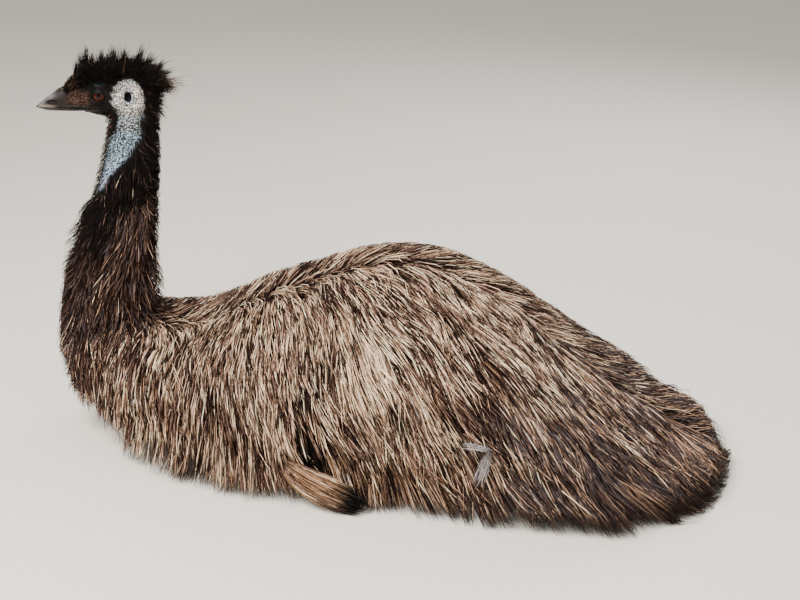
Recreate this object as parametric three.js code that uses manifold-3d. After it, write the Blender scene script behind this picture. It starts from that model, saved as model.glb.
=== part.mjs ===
// A life-size emu resting on the ground with its legs folded under it and its neck raised.
// Millimetres, +Z up. The bird looks towards -X, its left side is towards -Y, and its tail is at +X.
// Every body part is one closed solid, and the long coat is built as tapered locks rooted in it.
import * as THREE from "three";
import { mergeVertices } from "three/addons/utils/BufferGeometryUtils.js";
import Module from "manifold-3d";

const wasm = await Module();
wasm.setup();

// Sizes of the bird

const PART_GAP = 0.35; // clear space between two neighbouring solids
const LEG_GAP = 1.2; // the same round the folded legs
const SEED = 20261;

// The mantle is the outline out to the feather tips, as sections from breast to tail.
// Each list holds evenly spaced stations along the half turn that goes from the breast to the tail.
const MANTLE = {
  breastX: -565,
  tailX: 510,
  halfWidth: [0, 74, 142, 190, 219, 230, 234, 228, 172, 82, 0],
  ridge: [168, 208, 204, 200, 276, 335, 277, 167, 91, 46, 16],
  widest: [168, 150, 132, 120, 116, 114, 104, 80, 50, 28, 16],
  skirt: [4, 96, 190, 400, 400, 400, 400, 400, 400, 300, 200],
  roundness: 2.25,
};
// The flesh and dense underdown lie inside the mantle by this share of its size.
const CORE_SIDE = 0.89;
const CORE_TOP = 0.93;
const CORE_BELLY = [168, 62, 14, -5, -6, -6, -4, 8, 14, 12, 16];
const KEEL_ROUNDNESS = 1.25; // the belly narrows to a keel, with room for a leg on each side

// The neck, as stations evenly spaced in height from its root to its top.
const NECK = {
  rootZ: 160,
  topZ: 520,
  centreX: [-515, -506, -493, -473, -457, -446],
  halfDepth: [74, 70, 60, 51, 41, 33],
  halfWidth: [80, 66, 54, 44, 33, 28],
};
const NECK_CORE = [0.84, 0.83, 0.85, 0.9, 0.95, 0.98];

// The head has its own frame: the origin midway between the eyes, with the bill towards -x.
const HEAD_PLACE = { x: -493, y: 0, z: 574 };
const HEAD_YAW = 12; // degrees that the bill is turned towards the bird's left
const SKULL = {
  faceX: -62,
  backX: 77,
  top: [-8, 18, 30, 35, 36, 30, -2],
  bottom: [-8, -31, -32, -38, -46, -40, -2],
  halfWidth: [0, 15, 23, 28, 29, 24, 0],
};
const EYE_RADIUS = 12.5;
const EYE_OFFSET = 18.5;
const LID_THICKNESS = 2;
const EAR_PLACE = { x: 43, y: 26.5, z: -5 };
// The bill's sections run from its tip back into the head.
const BILL = {
  tipX: -101,
  rootX: -30,
  top: [-23, -10, 2, 11, 17],
  bottom: [-23, -28.5, -29.5, -30, -30],
  halfWidth: [0, 8, 11, 13, 15],
};
const NOSTRIL = { x: -74, y: 9.6, z: -11 };
const MOUTH = { z: -17.5, slope: -0.045, cornerX: 5, depth: 2.4, height: 1.5 };

// The folded legs lie flat under the belly.
const LEG_SIDE = 98; // from the middle plane to a leg
const HOCK_X = 285;
const TOE_ROOT_X = -70;
const SHANK_RADIUS = 16;
const SHANK_FLATNESS = 0.86; // height against width of a shank's section
const SHANK_LEVEL = 13; // height of its middle line above the floor
const TOES = [
  { length: 118, turn: -15, thick: 11 }, // inner
  { length: 150, turn: 0, thick: 13 }, // middle
  { length: 112, turn: 24, thick: 10.5 }, // outer
];
const CLAW = { length: 25, radius: 5.4, hook: 5, tipHeight: 2.5 };

// Interpolation

const clamp = (value, low, high) => Math.min(high, Math.max(low, value));
const mix = (a, b, t) => a + (b - a) * t;
const ease = (t) => t * t * (3 - 2 * t);
const radians = THREE.MathUtils.degToRad;

// A smooth curve through evenly spaced values, for t from 0 to 1.
function through(values, t) {
  const last = values.length - 1;
  const place = clamp(t, 0, 1) * last;
  const i = Math.min(Math.floor(place), last - 1);
  const f = place - i;
  const before = i > 0 ? values[i - 1] : 2 * values[0] - values[1];
  const after = i + 2 <= last ? values[i + 2] : 2 * values[last] - values[last - 1];
  const [a, b] = [values[i], values[i + 1]];
  const slopeA = (b - before) / 2;
  const slopeB = (after - a) / 2;
  const f2 = f * f;
  const f3 = f2 * f;
  return (
    a * (2 * f3 - 3 * f2 + 1) + b * (3 * f2 - 2 * f3) + slopeA * (f3 - 2 * f2 + f) + slopeB * (f3 - f2)
  );
}

// A repeatable stream of random numbers from 0 to 1.
function randomStream(seed) {
  let state = seed;
  return () => {
    state = (state + 0x6d2b79f5) | 0;
    let t = Math.imul(state ^ (state >>> 15), 1 | state);
    t = (t + Math.imul(t ^ (t >>> 7), 61 | t)) ^ t;
    return ((t ^ (t >>> 14)) >>> 0) / 4294967296;
  };
}

// Solids from geometries

function solid(geometry) {
  const bare = geometry.clone();
  bare.deleteAttribute("normal");
  bare.deleteAttribute("uv");
  const merged = mergeVertices(bare, 1e-3);
  return new wasm.Manifold(
    new wasm.Mesh({
      numProp: 3,
      vertProperties: new Float32Array(merged.attributes.position.array),
      triVerts: new Uint32Array(merged.index.array),
    })
  );
}

// Moves each vertex of a geometry to where place(x, y, z) says.
function warp(geometry, place) {
  const position = geometry.attributes.position;
  for (let i = 0; i < position.count; i++) {
    const to = place(position.getX(i), position.getY(i), position.getZ(i));
    position.setXYZ(i, to.x, to.y, to.z);
  }
  return geometry;
}

// A closed skin over sections: section(t, angle) gives the point at share t of the length,
// with the angle counted from the top round towards -Y.
function loft(along, around, section) {
  const ball = new THREE.SphereGeometry(1, around, along);
  return solid(
    warp(ball, (x, y, z) => {
      const atPole = Math.abs(y) > 1 - 1e-6;
      return section(Math.acos(clamp(-y, -1, 1)) / Math.PI, atPole ? 0 : Math.atan2(-x, -z));
    })
  );
}

const union = (pieces) => wasm.Manifold.union(pieces);

function largest(piece) {
  const found = piece.decompose();
  return found.reduce((best, one) => (one.volume() > best.volume() ? one : best), found[0]);
}

// A large block that fills the side of a plane that its normal points to.
function halfSpace(point, normal) {
  const size = 3000;
  const block = new THREE.BoxGeometry(size, size, size);
  block.translate(0, 0, size / 2);
  const turn = new THREE.Quaternion().setFromUnitVectors(
    new THREE.Vector3(0, 0, 1),
    normal.clone().normalize()
  );
  block.applyQuaternion(turn);
  block.translate(point.x, point.y, point.z);
  return solid(block);
}

// Parts a piece by a plane and leaves a thin gap; the first half is on the normal's side.
function partedByPlane(piece, point, normal) {
  const step = normal.clone().normalize().multiplyScalar(PART_GAP / 2);
  const ahead = piece.intersect(halfSpace(point.clone().add(step), normal));
  const behind = piece.intersect(halfSpace(point.clone().sub(step), normal.clone().negate()));
  return [largest(ahead), largest(behind)];
}

function ellipsoid(radii, centre, tiltY = 0, segments = 20) {
  const ball = new THREE.SphereGeometry(1, segments, Math.round(segments * 0.6));
  ball.scale(radii.x, radii.y, radii.z);
  ball.rotateY(radians(tiltY));
  ball.translate(centre.x, centre.y, centre.z);
  return solid(ball);
}

// The form of the trunk and neck

const lengthShare = (x) =>
  Math.acos(clamp(1 - (2 * (x - MANTLE.breastX)) / (MANTLE.tailX - MANTLE.breastX), -1, 1)) / Math.PI;
const shareX = (t) => mix(MANTLE.breastX, MANTLE.tailX, (1 - Math.cos(Math.PI * t)) / 2);

// One section of the trunk's core.
function coreSection(t) {
  const widest = through(MANTLE.widest, t);
  return {
    halfWidth: through(MANTLE.halfWidth, t) * CORE_SIDE,
    rise: (through(MANTLE.ridge, t) - widest) * CORE_TOP,
    widest,
    skirt: through(MANTLE.skirt, t),
    belly: through(CORE_BELLY, t),
  };
}

const signedPower = (value, power) => Math.sign(value) * Math.abs(value) ** power;

function trunkPoint(t, angle) {
  const s = coreSection(t);
  const above = Math.cos(angle) > 0;
  const power = 2 / (above ? MANTLE.roundness : KEEL_ROUNDNESS);
  const side = signedPower(Math.sin(angle), power);
  const up = signedPower(Math.cos(angle), power);
  const drop = above ? s.rise : s.widest - s.belly;
  return new THREE.Vector3(shareX(t), -s.halfWidth * side, s.widest + drop * up);
}

function neckSection(z) {
  const t = clamp((z - NECK.rootZ) / (NECK.topZ - NECK.rootZ), 0, 1);
  const share = through(NECK_CORE, t);
  return {
    x: through(NECK.centreX, t),
    halfDepth: through(NECK.halfDepth, t) * share,
    halfWidth: through(NECK.halfWidth, t) * share,
  };
}

function neckPoint(t, angle) {
  // The ends are rounded over so that the neck runs on into the breast and the head.
  const z = mix(NECK.rootZ - 70, NECK.topZ + 26, (1 - Math.cos(Math.PI * t)) / 2);
  const s = neckSection(z);
  const low = Math.sin((Math.PI / 2) * Math.min(1, t / 0.4));
  const high = Math.min(1, Math.sin(Math.PI * t) * 2.6) ** 0.8;
  const fill = t < 0.5 ? low : high;
  return new THREE.Vector3(
    s.x + s.halfDepth * fill * Math.cos(angle),
    s.halfWidth * fill * Math.sin(angle),
    z
  );
}

const LAST_FULL_SHARE = 0.88; // past this the tail only closes to its tip

// Distance of a point from the surface that the locks lie along, less than 0 inside it.
// Below the widest level this surface hangs straight down, as the skirt of plumage does.
function trunkRadius(p) {
  const s = coreSection(Math.min(lengthShare(p.x), LAST_FULL_SHARE));
  const beyond = Math.max(MANTLE.breastX - p.x, p.x - MANTLE.tailX, 0) / 30;
  const height = p.z - s.widest;
  const reach = Math.max(height > 0 ? s.rise : s.skirt, 4);
  const across = Math.abs(p.y) / Math.max(s.halfWidth, 4);
  const upward = Math.abs(height) / reach;
  return (across ** MANTLE.roundness + upward ** MANTLE.roundness) ** (1 / MANTLE.roundness) + beyond;
}

function neckRadius(p) {
  const s = neckSection(p.z);
  return Math.hypot((p.x - s.x) / s.halfDepth, p.y / s.halfWidth) + Math.max(0, NECK.rootZ - p.z) / 60;
}

function gradientOf(field, p) {
  const step = 1;
  const along = (axis) => {
    const ahead = p.clone();
    const behind = p.clone();
    ahead[axis] += step;
    behind[axis] -= step;
    return (field(ahead) - field(behind)) / (2 * step);
  };
  return new THREE.Vector3(along("x"), along("y"), along("z"));
}

function surfaceDistance(p) {
  const one = (field) => (field(p) - 1) / Math.max(gradientOf(field, p).length(), 1 / 400);
  const trunk = one(trunkRadius);
  const neck = one(neckRadius);
  const blend = 35;
  const h = clamp(0.5 + (trunk - neck) / (2 * blend), 0, 1);
  return mix(trunk, neck, h) - blend * h * (1 - h);
}

const surfaceNormal = (p) => gradientOf(surfaceDistance, p).normalize();

// The lie of the coat

// Degrees that the feathers on the flank are swept back from straight down, from breast to tail.
const FLANK_SWEEP = [-16, -12, -4, 6, 20, 34, 44, 44, 48, 56, 66];
const PARTING_SWEEP = 74;
const SKIRT = { fromX: -520, toX: 450, step: 47, upperAngle: 0.47, lowerAngle: 0.53 };
const PARTING = { fromX: -400, toX: 470, step: 62, angle: 0.035 };

// Which way the coat runs at a point: down the neck, and from the parting out, down and back.
function coatFlow(p, normal) {
  const side = p.y < 0 ? -1 : 1;
  const flank = through(FLANK_SWEEP, lengthShare(p.x));
  const sweep = radians(mix(flank, PARTING_SWEEP, Math.exp(-Math.abs(p.y) / 48)));
  const tangent = (v) => v.addScaledVector(normal, -v.dot(normal)).normalize();
  const down = tangent(new THREE.Vector3(0, 0.6 * side, -1));
  const back = tangent(new THREE.Vector3(1, 0, 0));
  const onTrunk = down.multiplyScalar(Math.cos(sweep)).addScaledVector(back, Math.sin(sweep));
  const onNeck = tangent(new THREE.Vector3(-0.22, 0.1 * side, -1));
  const neckShare = ease(clamp((p.z - 190) / 80, 0, 1)) * ease(clamp((-400 - p.x) / 40, 0, 1));
  return tangent(onTrunk.lerp(onNeck, neckShare));
}

const LOCK_STEP = 8;
const ROOT_DEPTH = 11;
const FLOOR_CLEARANCE = 5;
const LOWEST_TIP = 1.5; // no tip reaches below this height, so that the bird rests on its keel and legs
const TAIL_TIPS = 2; // how far the last tips reach past the tail's core

// The line of a lock: rooted under the surface, rising out of it and then lying along the flow.
function lockPath(root, length, rise) {
  const start = surfaceNormal(root);
  const rootHeight = surfaceDistance(root);
  const points = [root.clone().addScaledVector(start, -ROOT_DEPTH)];
  const normals = [start];
  let p = root.clone();
  for (let travelled = LOCK_STEP; travelled < length; travelled += LOCK_STEP) {
    const n = surfaceNormal(p);
    p = p.addScaledVector(coatFlow(p, n), LOCK_STEP);
    const risen = Math.sin((Math.PI / 2) * Math.min(1, (1.1 * travelled) / length));
    const out = surfaceNormal(p);
    const lift = mix(rootHeight + 3, rise, risen) - surfaceDistance(p);
    p.addScaledVector(out, clamp(lift, -LOCK_STEP, LOCK_STEP));
    points.push(p.clone());
    normals.push(out);
    if (p.z < FLOOR_CLEARANCE || p.x > MANTLE.tailX + TAIL_TIPS) break;
  }
  points.at(-1).z = Math.max(points.at(-1).z, LOWEST_TIP + 1);
  return { points, normals };
}

function pathAt(path, share) {
  const place = clamp(share, 0, 1) * (path.points.length - 1);
  const i = Math.min(Math.floor(place), path.points.length - 2);
  const f = place - i;
  return {
    point: path.points[i].clone().lerp(path.points[i + 1], f),
    normal: path.normals[i].clone().lerp(path.normals[i + 1], f).normalize(),
    along: path.points[i + 1].clone().sub(path.points[i]).normalize(),
  };
}

// Width of a lock along its length: narrow at the root, fullest at a third, and drawn out to a point.
const FULLEST = 0.33;
const ROOT_WIDTH = 0.34;
function lockWidth(share) {
  if (share < FULLEST) return mix(ROOT_WIDTH, 1, share / FULLEST);
  return 1 - ((share - FULLEST) / (1 - FULLEST)) ** 1.9;
}

// A flat, tapered lock with a low ridge along its outer face.
function lockSolid(path, width, thickness, rings = 3) {
  const cone = new THREE.ConeGeometry(1, 1, 3, rings);
  return solid(
    warp(cone, (x, y, z) => {
      const share = y + 0.5;
      const at = pathAt(path, share);
      if (Math.hypot(x, z) < 1e-6) return at.point; // the tip, and the middle of the root
      const across = at.along.clone().cross(at.normal).normalize();
      const around = Math.atan2(x, z);
      const size = lockWidth(share);
      return at.point
        .clone()
        .addScaledVector(across, (Math.sin(around) / 0.866) * (width / 2) * size)
        .addScaledVector(at.normal, (Math.abs(around) < 1e-3 ? 0.72 : -0.28) * thickness * Math.sqrt(size));
    })
  );
}

// Random roots on the surface that pick() draws from, no closer together than spacing(p).
function scatterRoots(pick, tries, spacing, kept = []) {
  for (let i = 0; i < tries; i++) {
    const p = pick();
    if (p && kept.every((q) => q.distanceTo(p) > spacing(p))) kept.push(p);
  }
  return kept;
}

// The head, in its own frame

function skullPoint(t, angle, swell = 0) {
  const top = through(SKULL.top, t) + swell;
  const bottom = through(SKULL.bottom, t) - swell;
  const middle = (top + bottom) / 2;
  const x = mix(SKULL.faceX, SKULL.backX, (1 - Math.cos(Math.PI * t)) / 2);
  return new THREE.Vector3(
    x,
    (-through(SKULL.halfWidth, t) - swell) * Math.sin(angle),
    middle + ((top - bottom) / 2) * Math.cos(angle)
  );
}

// The bill is one wedge with a rounded ridge, parted along the line of the mouth.
function billSolid(swell = 0) {
  return loft(9, 10, (t, angle) => {
    const share = (1 - Math.cos(Math.PI * t)) / 2;
    const halfWidth = through(BILL.halfWidth, share ** 0.7) + swell;
    const top = through(BILL.top, share) + swell;
    const bottom = through(BILL.bottom, share) - swell;
    const up = Math.cos(angle) * (1 - 0.12 * Math.sin(angle) ** 2);
    return new THREE.Vector3(
      mix(BILL.tipX - swell, BILL.rootX + swell, share),
      -Math.sin(angle) * halfWidth,
      mix(bottom, top, 0.5 + up / 2)
    );
  });
}

function buildBill() {
  const point = new THREE.Vector3(0, 0, MOUTH.z);
  const normal = new THREE.Vector3(MOUTH.slope, 0, 1);
  const [upper, lower] = partedByPlane(billSolid(), point, normal);
  // The upper bill closes over the lower one, which is a little shorter.
  const shorter = new THREE.BoxGeometry(14, 60, 60);
  shorter.translate(BILL.tipX - 3, 0, MOUTH.z);
  const slot = (side) =>
    ellipsoid({ x: 8, y: 2.2, z: 2.3 }, { x: NOSTRIL.x, y: side * NOSTRIL.y, z: NOSTRIL.z }, -14, 6);
  return {
    upper: largest(upper.subtract(slot(-1)).subtract(slot(1))),
    lower: largest(lower.subtract(solid(shorter))),
  };
}

function headPlaced(piece) {
  const place = new THREE.Matrix4()
    .makeTranslation(HEAD_PLACE.x, HEAD_PLACE.y, HEAD_PLACE.z)
    .multiply(new THREE.Matrix4().makeRotationZ(radians(HEAD_YAW)));
  return piece.transform(place.elements);
}

function eyeball(radius, side) {
  return ellipsoid({ x: radius, y: radius, z: radius }, { x: 0, y: side * EYE_OFFSET, z: 0 }, 0, 12);
}

// The almond-shaped opening between the lids.
function lidOpening(side) {
  const opening = new THREE.CylinderGeometry(1, 1, 30, 10);
  opening.scale(9.6, 1, 7.8);
  opening.rotateY(radians(-8));
  opening.translate(-0.5, side * (EYE_OFFSET + 15), -0.4);
  return solid(opening);
}

// The ear is an opening in the skin with an oval rim round it.
function earRim(side, swell = 0) {
  const ring = new THREE.TorusGeometry(6, 2.1 + swell, 4, 10);
  ring.scale(0.95, 1.6, 1);
  ring.rotateX(Math.PI / 2);
  ring.rotateZ(radians(side * 7));
  ring.translate(EAR_PLACE.x, side * EAR_PLACE.y, EAR_PLACE.z);
  return solid(ring);
}

const skullSolid = (swell = 0) => loft(12, 14, (t, angle) => skullPoint(t, angle, swell));

function buildSkull() {
  let skull = skullSolid();
  for (const side of [-1, 1]) {
    const lids = eyeball(EYE_RADIUS + LID_THICKNESS, side);
    const earHole = { x: EAR_PLACE.x, y: side * 30, z: EAR_PLACE.z };
    const hole = ellipsoid({ x: 4.2, y: 7, z: 7.6 }, earHole, 0, 8);
    skull = skull
      .add(lids)
      .subtract(lidOpening(side))
      .subtract(eyeball(EYE_RADIUS + PART_GAP, side))
      .subtract(earRim(side, PART_GAP))
      .subtract(hole);
  }
  // The line of the mouth runs on from the bill to a corner under the eye.
  const line = new THREE.BoxGeometry(MOUTH.cornerX + 70, 80, MOUTH.height);
  line.translate((MOUTH.cornerX - 70) / 2, 0, MOUTH.z);
  line.rotateY(Math.atan(MOUTH.slope));
  const groove = solid(line).subtract(skullSolid(-MOUTH.depth));
  return largest(skull.subtract(groove).subtract(billSolid(PART_GAP)));
}

// The legs

// The shank lies on the floor from the hock forward, and above the hock the leg folds back up.
const SHANK_LINE = new THREE.CatmullRomCurve3(
  [
    [HOCK_X - 85, 86],
    [HOCK_X - 26, 50],
    [HOCK_X, 24],
    [HOCK_X - 30, SHANK_LEVEL + 1],
    [HOCK_X - 100, SHANK_LEVEL],
    [mix(TOE_ROOT_X, HOCK_X, 0.4), SHANK_LEVEL],
    [TOE_ROOT_X + 8, SHANK_LEVEL],
  ].map(([x, z]) => new THREE.Vector3(x, 0, z)),
  false,
  "centripetal"
);

function shankSolid(side, swell = 0) {
  const tube = new THREE.CylinderGeometry(1, 1, 1, 8, 12);
  const radius = SHANK_RADIUS + swell;
  return solid(
    warp(tube, (x, y, z) => {
      const share = clamp(y + 0.5, 0, 1);
      const along = SHANK_LINE.getTangent(share);
      const end = Math.abs(y) > 0.499 ? Math.sign(y) * swell : 0;
      const across = z * radius * SHANK_FLATNESS;
      const aside = new THREE.Vector3(along.z * across, side * LEG_SIDE + x * radius, -along.x * across);
      return SHANK_LINE.getPoint(share).addScaledVector(along, end).add(aside);
    })
  );
}

// A point beside a toe's line: so far along it, so far to its side, and at a height.
function besideToe(side, toe, along, across, height) {
  const turn = radians(toe.turn * -side);
  return new THREE.Vector3(
    TOE_ROOT_X - along * Math.cos(turn) - across * Math.sin(turn),
    side * LEG_SIDE - along * Math.sin(turn) + across * Math.cos(turn),
    height
  );
}

function toeSolid(side, toe) {
  return loft(6, 6, (t, angle) => {
    const share = (1 - Math.cos(Math.PI * t)) / 2;
    const thick = toe.thick * mix(1, 0.62, share);
    const radius = thick * Math.min(1, Math.sin(Math.PI * t) * 2.4);
    const height = radius * Math.cos(angle) * 0.9 + thick * 0.8;
    return besideToe(side, toe, share * toe.length, radius * Math.sin(angle), height);
  });
}

function clawSolid(side, toe, swell = 0) {
  const start = toe.length - 9 - swell;
  const cone = new THREE.ConeGeometry(1, 1, 6, 2);
  return solid(
    warp(cone, (x, y, z) => {
      const share = y + 0.5;
      const radius = CLAW.radius + swell;
      const middle = CLAW.tipHeight + CLAW.hook * (1 - share ** 1.7);
      return besideToe(side, toe, start + share * (CLAW.length + swell), -x * radius, middle - z * radius);
    })
  );
}

// Cutting the bird into its named parts

const vector = (x, y, z) => new THREE.Vector3(x, y, z);
const CUTS = {
  head: { point: vector(-452, 0, 533), normal: vector(-0.34, 0, 0.94) },
  bareNeck: { point: vector(-460, 0, 436), normal: vector(-0.6, 0, 0.8) },
  neckRoot: { point: vector(-508, 0, 207), normal: vector(-0.207, 0, 0.978) },
  tail: { point: vector(310, 0, 120), normal: vector(0.95, 0, 0.3) },
};
const THIGH = { centre: [52, 168, 112], radii: { x: 165, y: 92, z: 112 }, tilt: 14 };
const WING = { centre: [-235, 176, 196], radii: { x: 118, y: 44, z: 46 }, tilt: 22 };

const ahead = (cut, p) => p.clone().sub(cut.point).dot(cut.normal) > 0;

function regionSolid(region, side, swell = 0) {
  const [x, y, z] = region.centre;
  const radii = { x: region.radii.x + swell, y: region.radii.y + swell, z: region.radii.z + swell };
  return ellipsoid(radii, { x, y: side * y, z }, region.tilt, 12);
}

function insideRegion(region, p) {
  const [x, y, z] = region.centre;
  const q = vector(p.x - x, Math.abs(p.y) - y, p.z - z);
  q.applyAxisAngle(vector(0, 1, 0), -radians(region.tilt));
  return Math.hypot(q.x / region.radii.x, q.y / region.radii.y, q.z / region.radii.z) < 1;
}

// Which part a point on the coat's core belongs to.
function partAt(p) {
  const sideName = p.y < 0 ? "left" : "right";
  if (p.z > 180 && p.x < -400 && ahead(CUTS.neckRoot, p)) {
    return ahead(CUTS.bareNeck, p) ? "neck_upper" : "neck_lower";
  }
  if (ahead(CUTS.tail, p)) return "tail";
  if (insideRegion(THIGH, p)) return "thigh_" + sideName;
  if (insideRegion(WING, p)) return "wing_" + sideName;
  return "torso";
}

// The coat

const random = randomStream(SEED);
const locks = []; // each with its part, path, width and thickness

const vary = (value, share) => value * (1 + share * (2 * random() - 1));

// A root keeps clear of the edge of its part, along the lie of the coat and across it.
function clearOfEdges(p) {
  const n = surfaceNormal(p);
  const flow = coatFlow(p, n);
  const across = flow.clone().cross(n);
  const part = partAt(p);
  const near = [[ROOT_DEPTH + 4, flow], [-ROOT_DEPTH - 2, flow], [13, across], [-13, across]];
  return near.every(([step, way]) => partAt(p.clone().addScaledVector(way, step)) === part);
}

function trunkRoot() {
  const t = mix(0.04, 0.965, random());
  const reach = Math.PI * mix(0.72, 0.5, clamp(t / 0.25, 0, 1)); // further down on the breast
  const p = trunkPoint(t, mix(-reach, reach, random()));
  if (p.z < 44 || Math.abs(p.y) < 9 || neckRadius(p) < 1.04) return null;
  return clearOfEdges(p) ? p : null;
}

function neckRoot() {
  const z = mix(138, 480, random());
  const s = neckSection(z);
  const angle = 2 * Math.PI * random();
  const p = vector(s.x + s.halfDepth * Math.cos(angle), s.halfWidth * Math.sin(angle), z);
  return surfaceDistance(p) > -12 && partAt(p) !== "neck_upper" && clearOfEdges(p) ? p : null;
}

// Along the parting the roots stand in two close rows, one for each side.
function partingRoots() {
  const roots = [];
  for (let x = PARTING.fromX; x < PARTING.toX; x += PARTING.step) {
    for (const [side, offset] of [[-1, 0], [1, PARTING.step / 2]]) {
      const t = lengthShare(x + offset);
      roots.push(trunkPoint(t, -side * PARTING.angle));
    }
  }
  return roots.filter(clearOfEdges);
}

// Round the foot of the flank the roots stand in two staggered rows, so that the tips close the skirt.
function skirtRoots() {
  const roots = [];
  for (let x = SKIRT.fromX; x < SKIRT.toX; x += SKIRT.step) {
    for (const side of [-1, 1]) {
      roots.push(trunkPoint(lengthShare(x), -side * SKIRT.upperAngle * Math.PI));
      roots.push(trunkPoint(lengthShare(x + SKIRT.step / 2), -side * SKIRT.lowerAngle * Math.PI));
    }
  }
  return roots.filter(clearOfEdges);
}

// Trunk locks are longest on the back and flank, shorter on the breast, and shortest under the flank.
const trunkSpacing = (p) => (p.x < -400 || p.x > 360 ? 53 : 64);
for (const root of scatterRoots(trunkRoot, 6000, trunkSpacing, [...partingRoots(), ...skirtRoots()])) {
  const s = coreSection(lengthShare(root.x));
  const breast = clamp((-330 - root.x) / 150, 0, 1);
  const top = clamp((root.z - s.widest) / Math.max(s.rise, 1), 0, 1) ** 3;
  const under = root.z < s.widest - 1 ? 1 : 0;
  const rise = mix(mix(mix(22, 14, breast), 11, top), 8, under);
  locks.push({
    part: partAt(root),
    path: lockPath(root, vary(mix(200, 130, breast), 0.12), rise + 8 * random() - 2),
    width: vary(mix(57, 43, breast), 0.15),
    thickness: 6,
  });
}
for (const root of scatterRoots(neckRoot, 2400, (p) => mix(41, 31, (p.z - 200) / 200))) {
  const up = clamp((root.z - 200) / 200, 0, 1);
  locks.push({
    part: partAt(root),
    path: lockPath(root, vary(mix(105, 66, up), 0.12), mix(11, 13, up)),
    width: vary(mix(36, 25, up), 0.12),
    thickness: 4.5,
  });
}

// Bristles of the crown and nape

const bristles = [];

// A bristle grows out of the skin, leans by a random amount and bends over backwards.
function bristlePath(root, out, length, bend) {
  const lean = vector(vary(0, 1) + 0.5 * (random() - 0.5), 0.7 * (random() - 0.5), 0);
  const along = out.clone().addScaledVector(lean, 0.5).normalize();
  const points = [-0.2, 0.15, 0.5, 0.8, 1].map((s) => {
    const straight = root.clone().addScaledVector(along, s * length);
    return straight.addScaledVector(bend, s * Math.abs(s) * length);
  });
  const face = vector(1, 0, 0.2).cross(along).cross(along).negate().normalize();
  return { points, normals: points.map(() => face) };
}

function crownRoot() {
  const t = mix(0.2, 0.93, random());
  const p = skullPoint(t, mix(-0.36, 0.36, random()) * Math.PI);
  return p.z > 8 ? p : null;
}

for (const root of scatterRoots(crownRoot, 900, () => 15)) {
  const out = root.clone().sub(vector(8, 0, -6)).normalize();
  const back = clamp((root.x - 10) / 50, 0, 1);
  const face = clamp((-12 - root.x) / 35, 0, 1);
  const length = mix(mix(29, 35, back), 15, face);
  bristles.push({
    part: "head",
    path: bristlePath(root, out, vary(length, 0.18), vector(0.25, 0, -0.1 - 0.2 * back)),
    width: mix(8, 5, face),
    thickness: 3.4,
  });
}

// Down the nape the bristles lie back and down.
function napeRoot() {
  const z = mix(484, 524, random());
  const s = neckSection(z);
  const angle = mix(-0.28, 0.28, random()) * Math.PI;
  return vector(s.x + s.halfDepth * Math.cos(angle), s.halfWidth * Math.sin(angle), z);
}

for (const root of scatterRoots(napeRoot, 300, () => 13)) {
  const out = vector(0.55, root.y / 40, -0.85).normalize();
  bristles.push({
    part: "neck_upper",
    path: bristlePath(root, out, vary(25, 0.15), vector(0, 0, -0.12)),
    width: 8,
    thickness: 3.2,
  });
}

// Assembly

const nodes = new Map();
const SIDES = { left: -1, right: 1 };
const floorUp = halfSpace(vector(0, 0, 0), vector(0, 0, 1));
const coatFloor = halfSpace(vector(0, 0, LOWEST_TIP), vector(0, 0, 1));

// The flesh: head, neck and trunk are one form, parted by thin cuts.
const trunk = loft(20, 20, trunkPoint).add(loft(14, 14, neckPoint)).intersect(floorUp);
const [headPart, belowHead] = partedByPlane(
  trunk.add(headPlaced(buildSkull())),
  CUTS.head.point,
  CUTS.head.normal
);
const [neck, body] = partedByPlane(belowHead, CUTS.neckRoot.point, CUTS.neckRoot.normal);
const [neckUpper, neckLower] = partedByPlane(neck, CUTS.bareNeck.point, CUTS.bareNeck.normal);
const [tail, fore] = partedByPlane(body, CUTS.tail.point, CUTS.tail.normal);
nodes.set("head", headPart);
nodes.set("neck_upper", neckUpper);
nodes.set("neck_lower", neckLower);
nodes.set("tail", tail);

let torso = fore;
for (const [name, side] of Object.entries(SIDES)) {
  torso = torso.subtract(shankSolid(side, LEG_GAP));
  for (const [part, region] of [["thigh_", THIGH], ["wing_", WING]]) {
    nodes.set(part + name, largest(torso.intersect(regionSolid(region, side))));
    torso = torso.subtract(regionSolid(region, side, PART_GAP));
  }
}
nodes.set("torso", largest(torso));

// Eyes, ears and bill
const bill = buildBill();
nodes.set("bill_upper", headPlaced(bill.upper));
nodes.set("bill_lower", headPlaced(bill.lower));
for (const [name, side] of Object.entries(SIDES)) {
  nodes.set("eye_" + name, headPlaced(eyeball(EYE_RADIUS, side)));
  nodes.set("ear_" + name, headPlaced(earRim(side)));
}

// Legs
for (const [name, side] of Object.entries(SIDES)) {
  const shank = shankSolid(side).intersect(floorUp);
  let foot = union(TOES.map((toe) => toeSolid(side, toe))).intersect(floorUp);
  foot = foot.subtract(shankSolid(side, LEG_GAP));
  TOES.forEach((toe, index) => {
    foot = foot.subtract(clawSolid(side, toe, PART_GAP));
    nodes.set(`claw_${name}_${index + 1}`, clawSolid(side, toe).intersect(floorUp));
  });
  nodes.set("shank_" + name, shank);
  nodes.set("foot_" + name, largest(foot));
}

// The bristles are fused to the head and nape, clear of the eyes.
for (const part of ["head", "neck_upper"]) {
  const own = bristles.filter((one) => one.part === part);
  const grown = own.map((one) => lockSolid(one.path, one.width, one.thickness, 2));
  const placed = part === "head" ? grown.map(headPlaced) : grown;
  const clearOfEyes = Object.values(SIDES).reduce(
    (left, side) => left.subtract(headPlaced(eyeball(EYE_RADIUS + PART_GAP, side))),
    union([nodes.get(part), ...placed])
  );
  nodes.set(part, largest(clearOfEyes));
}

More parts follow.
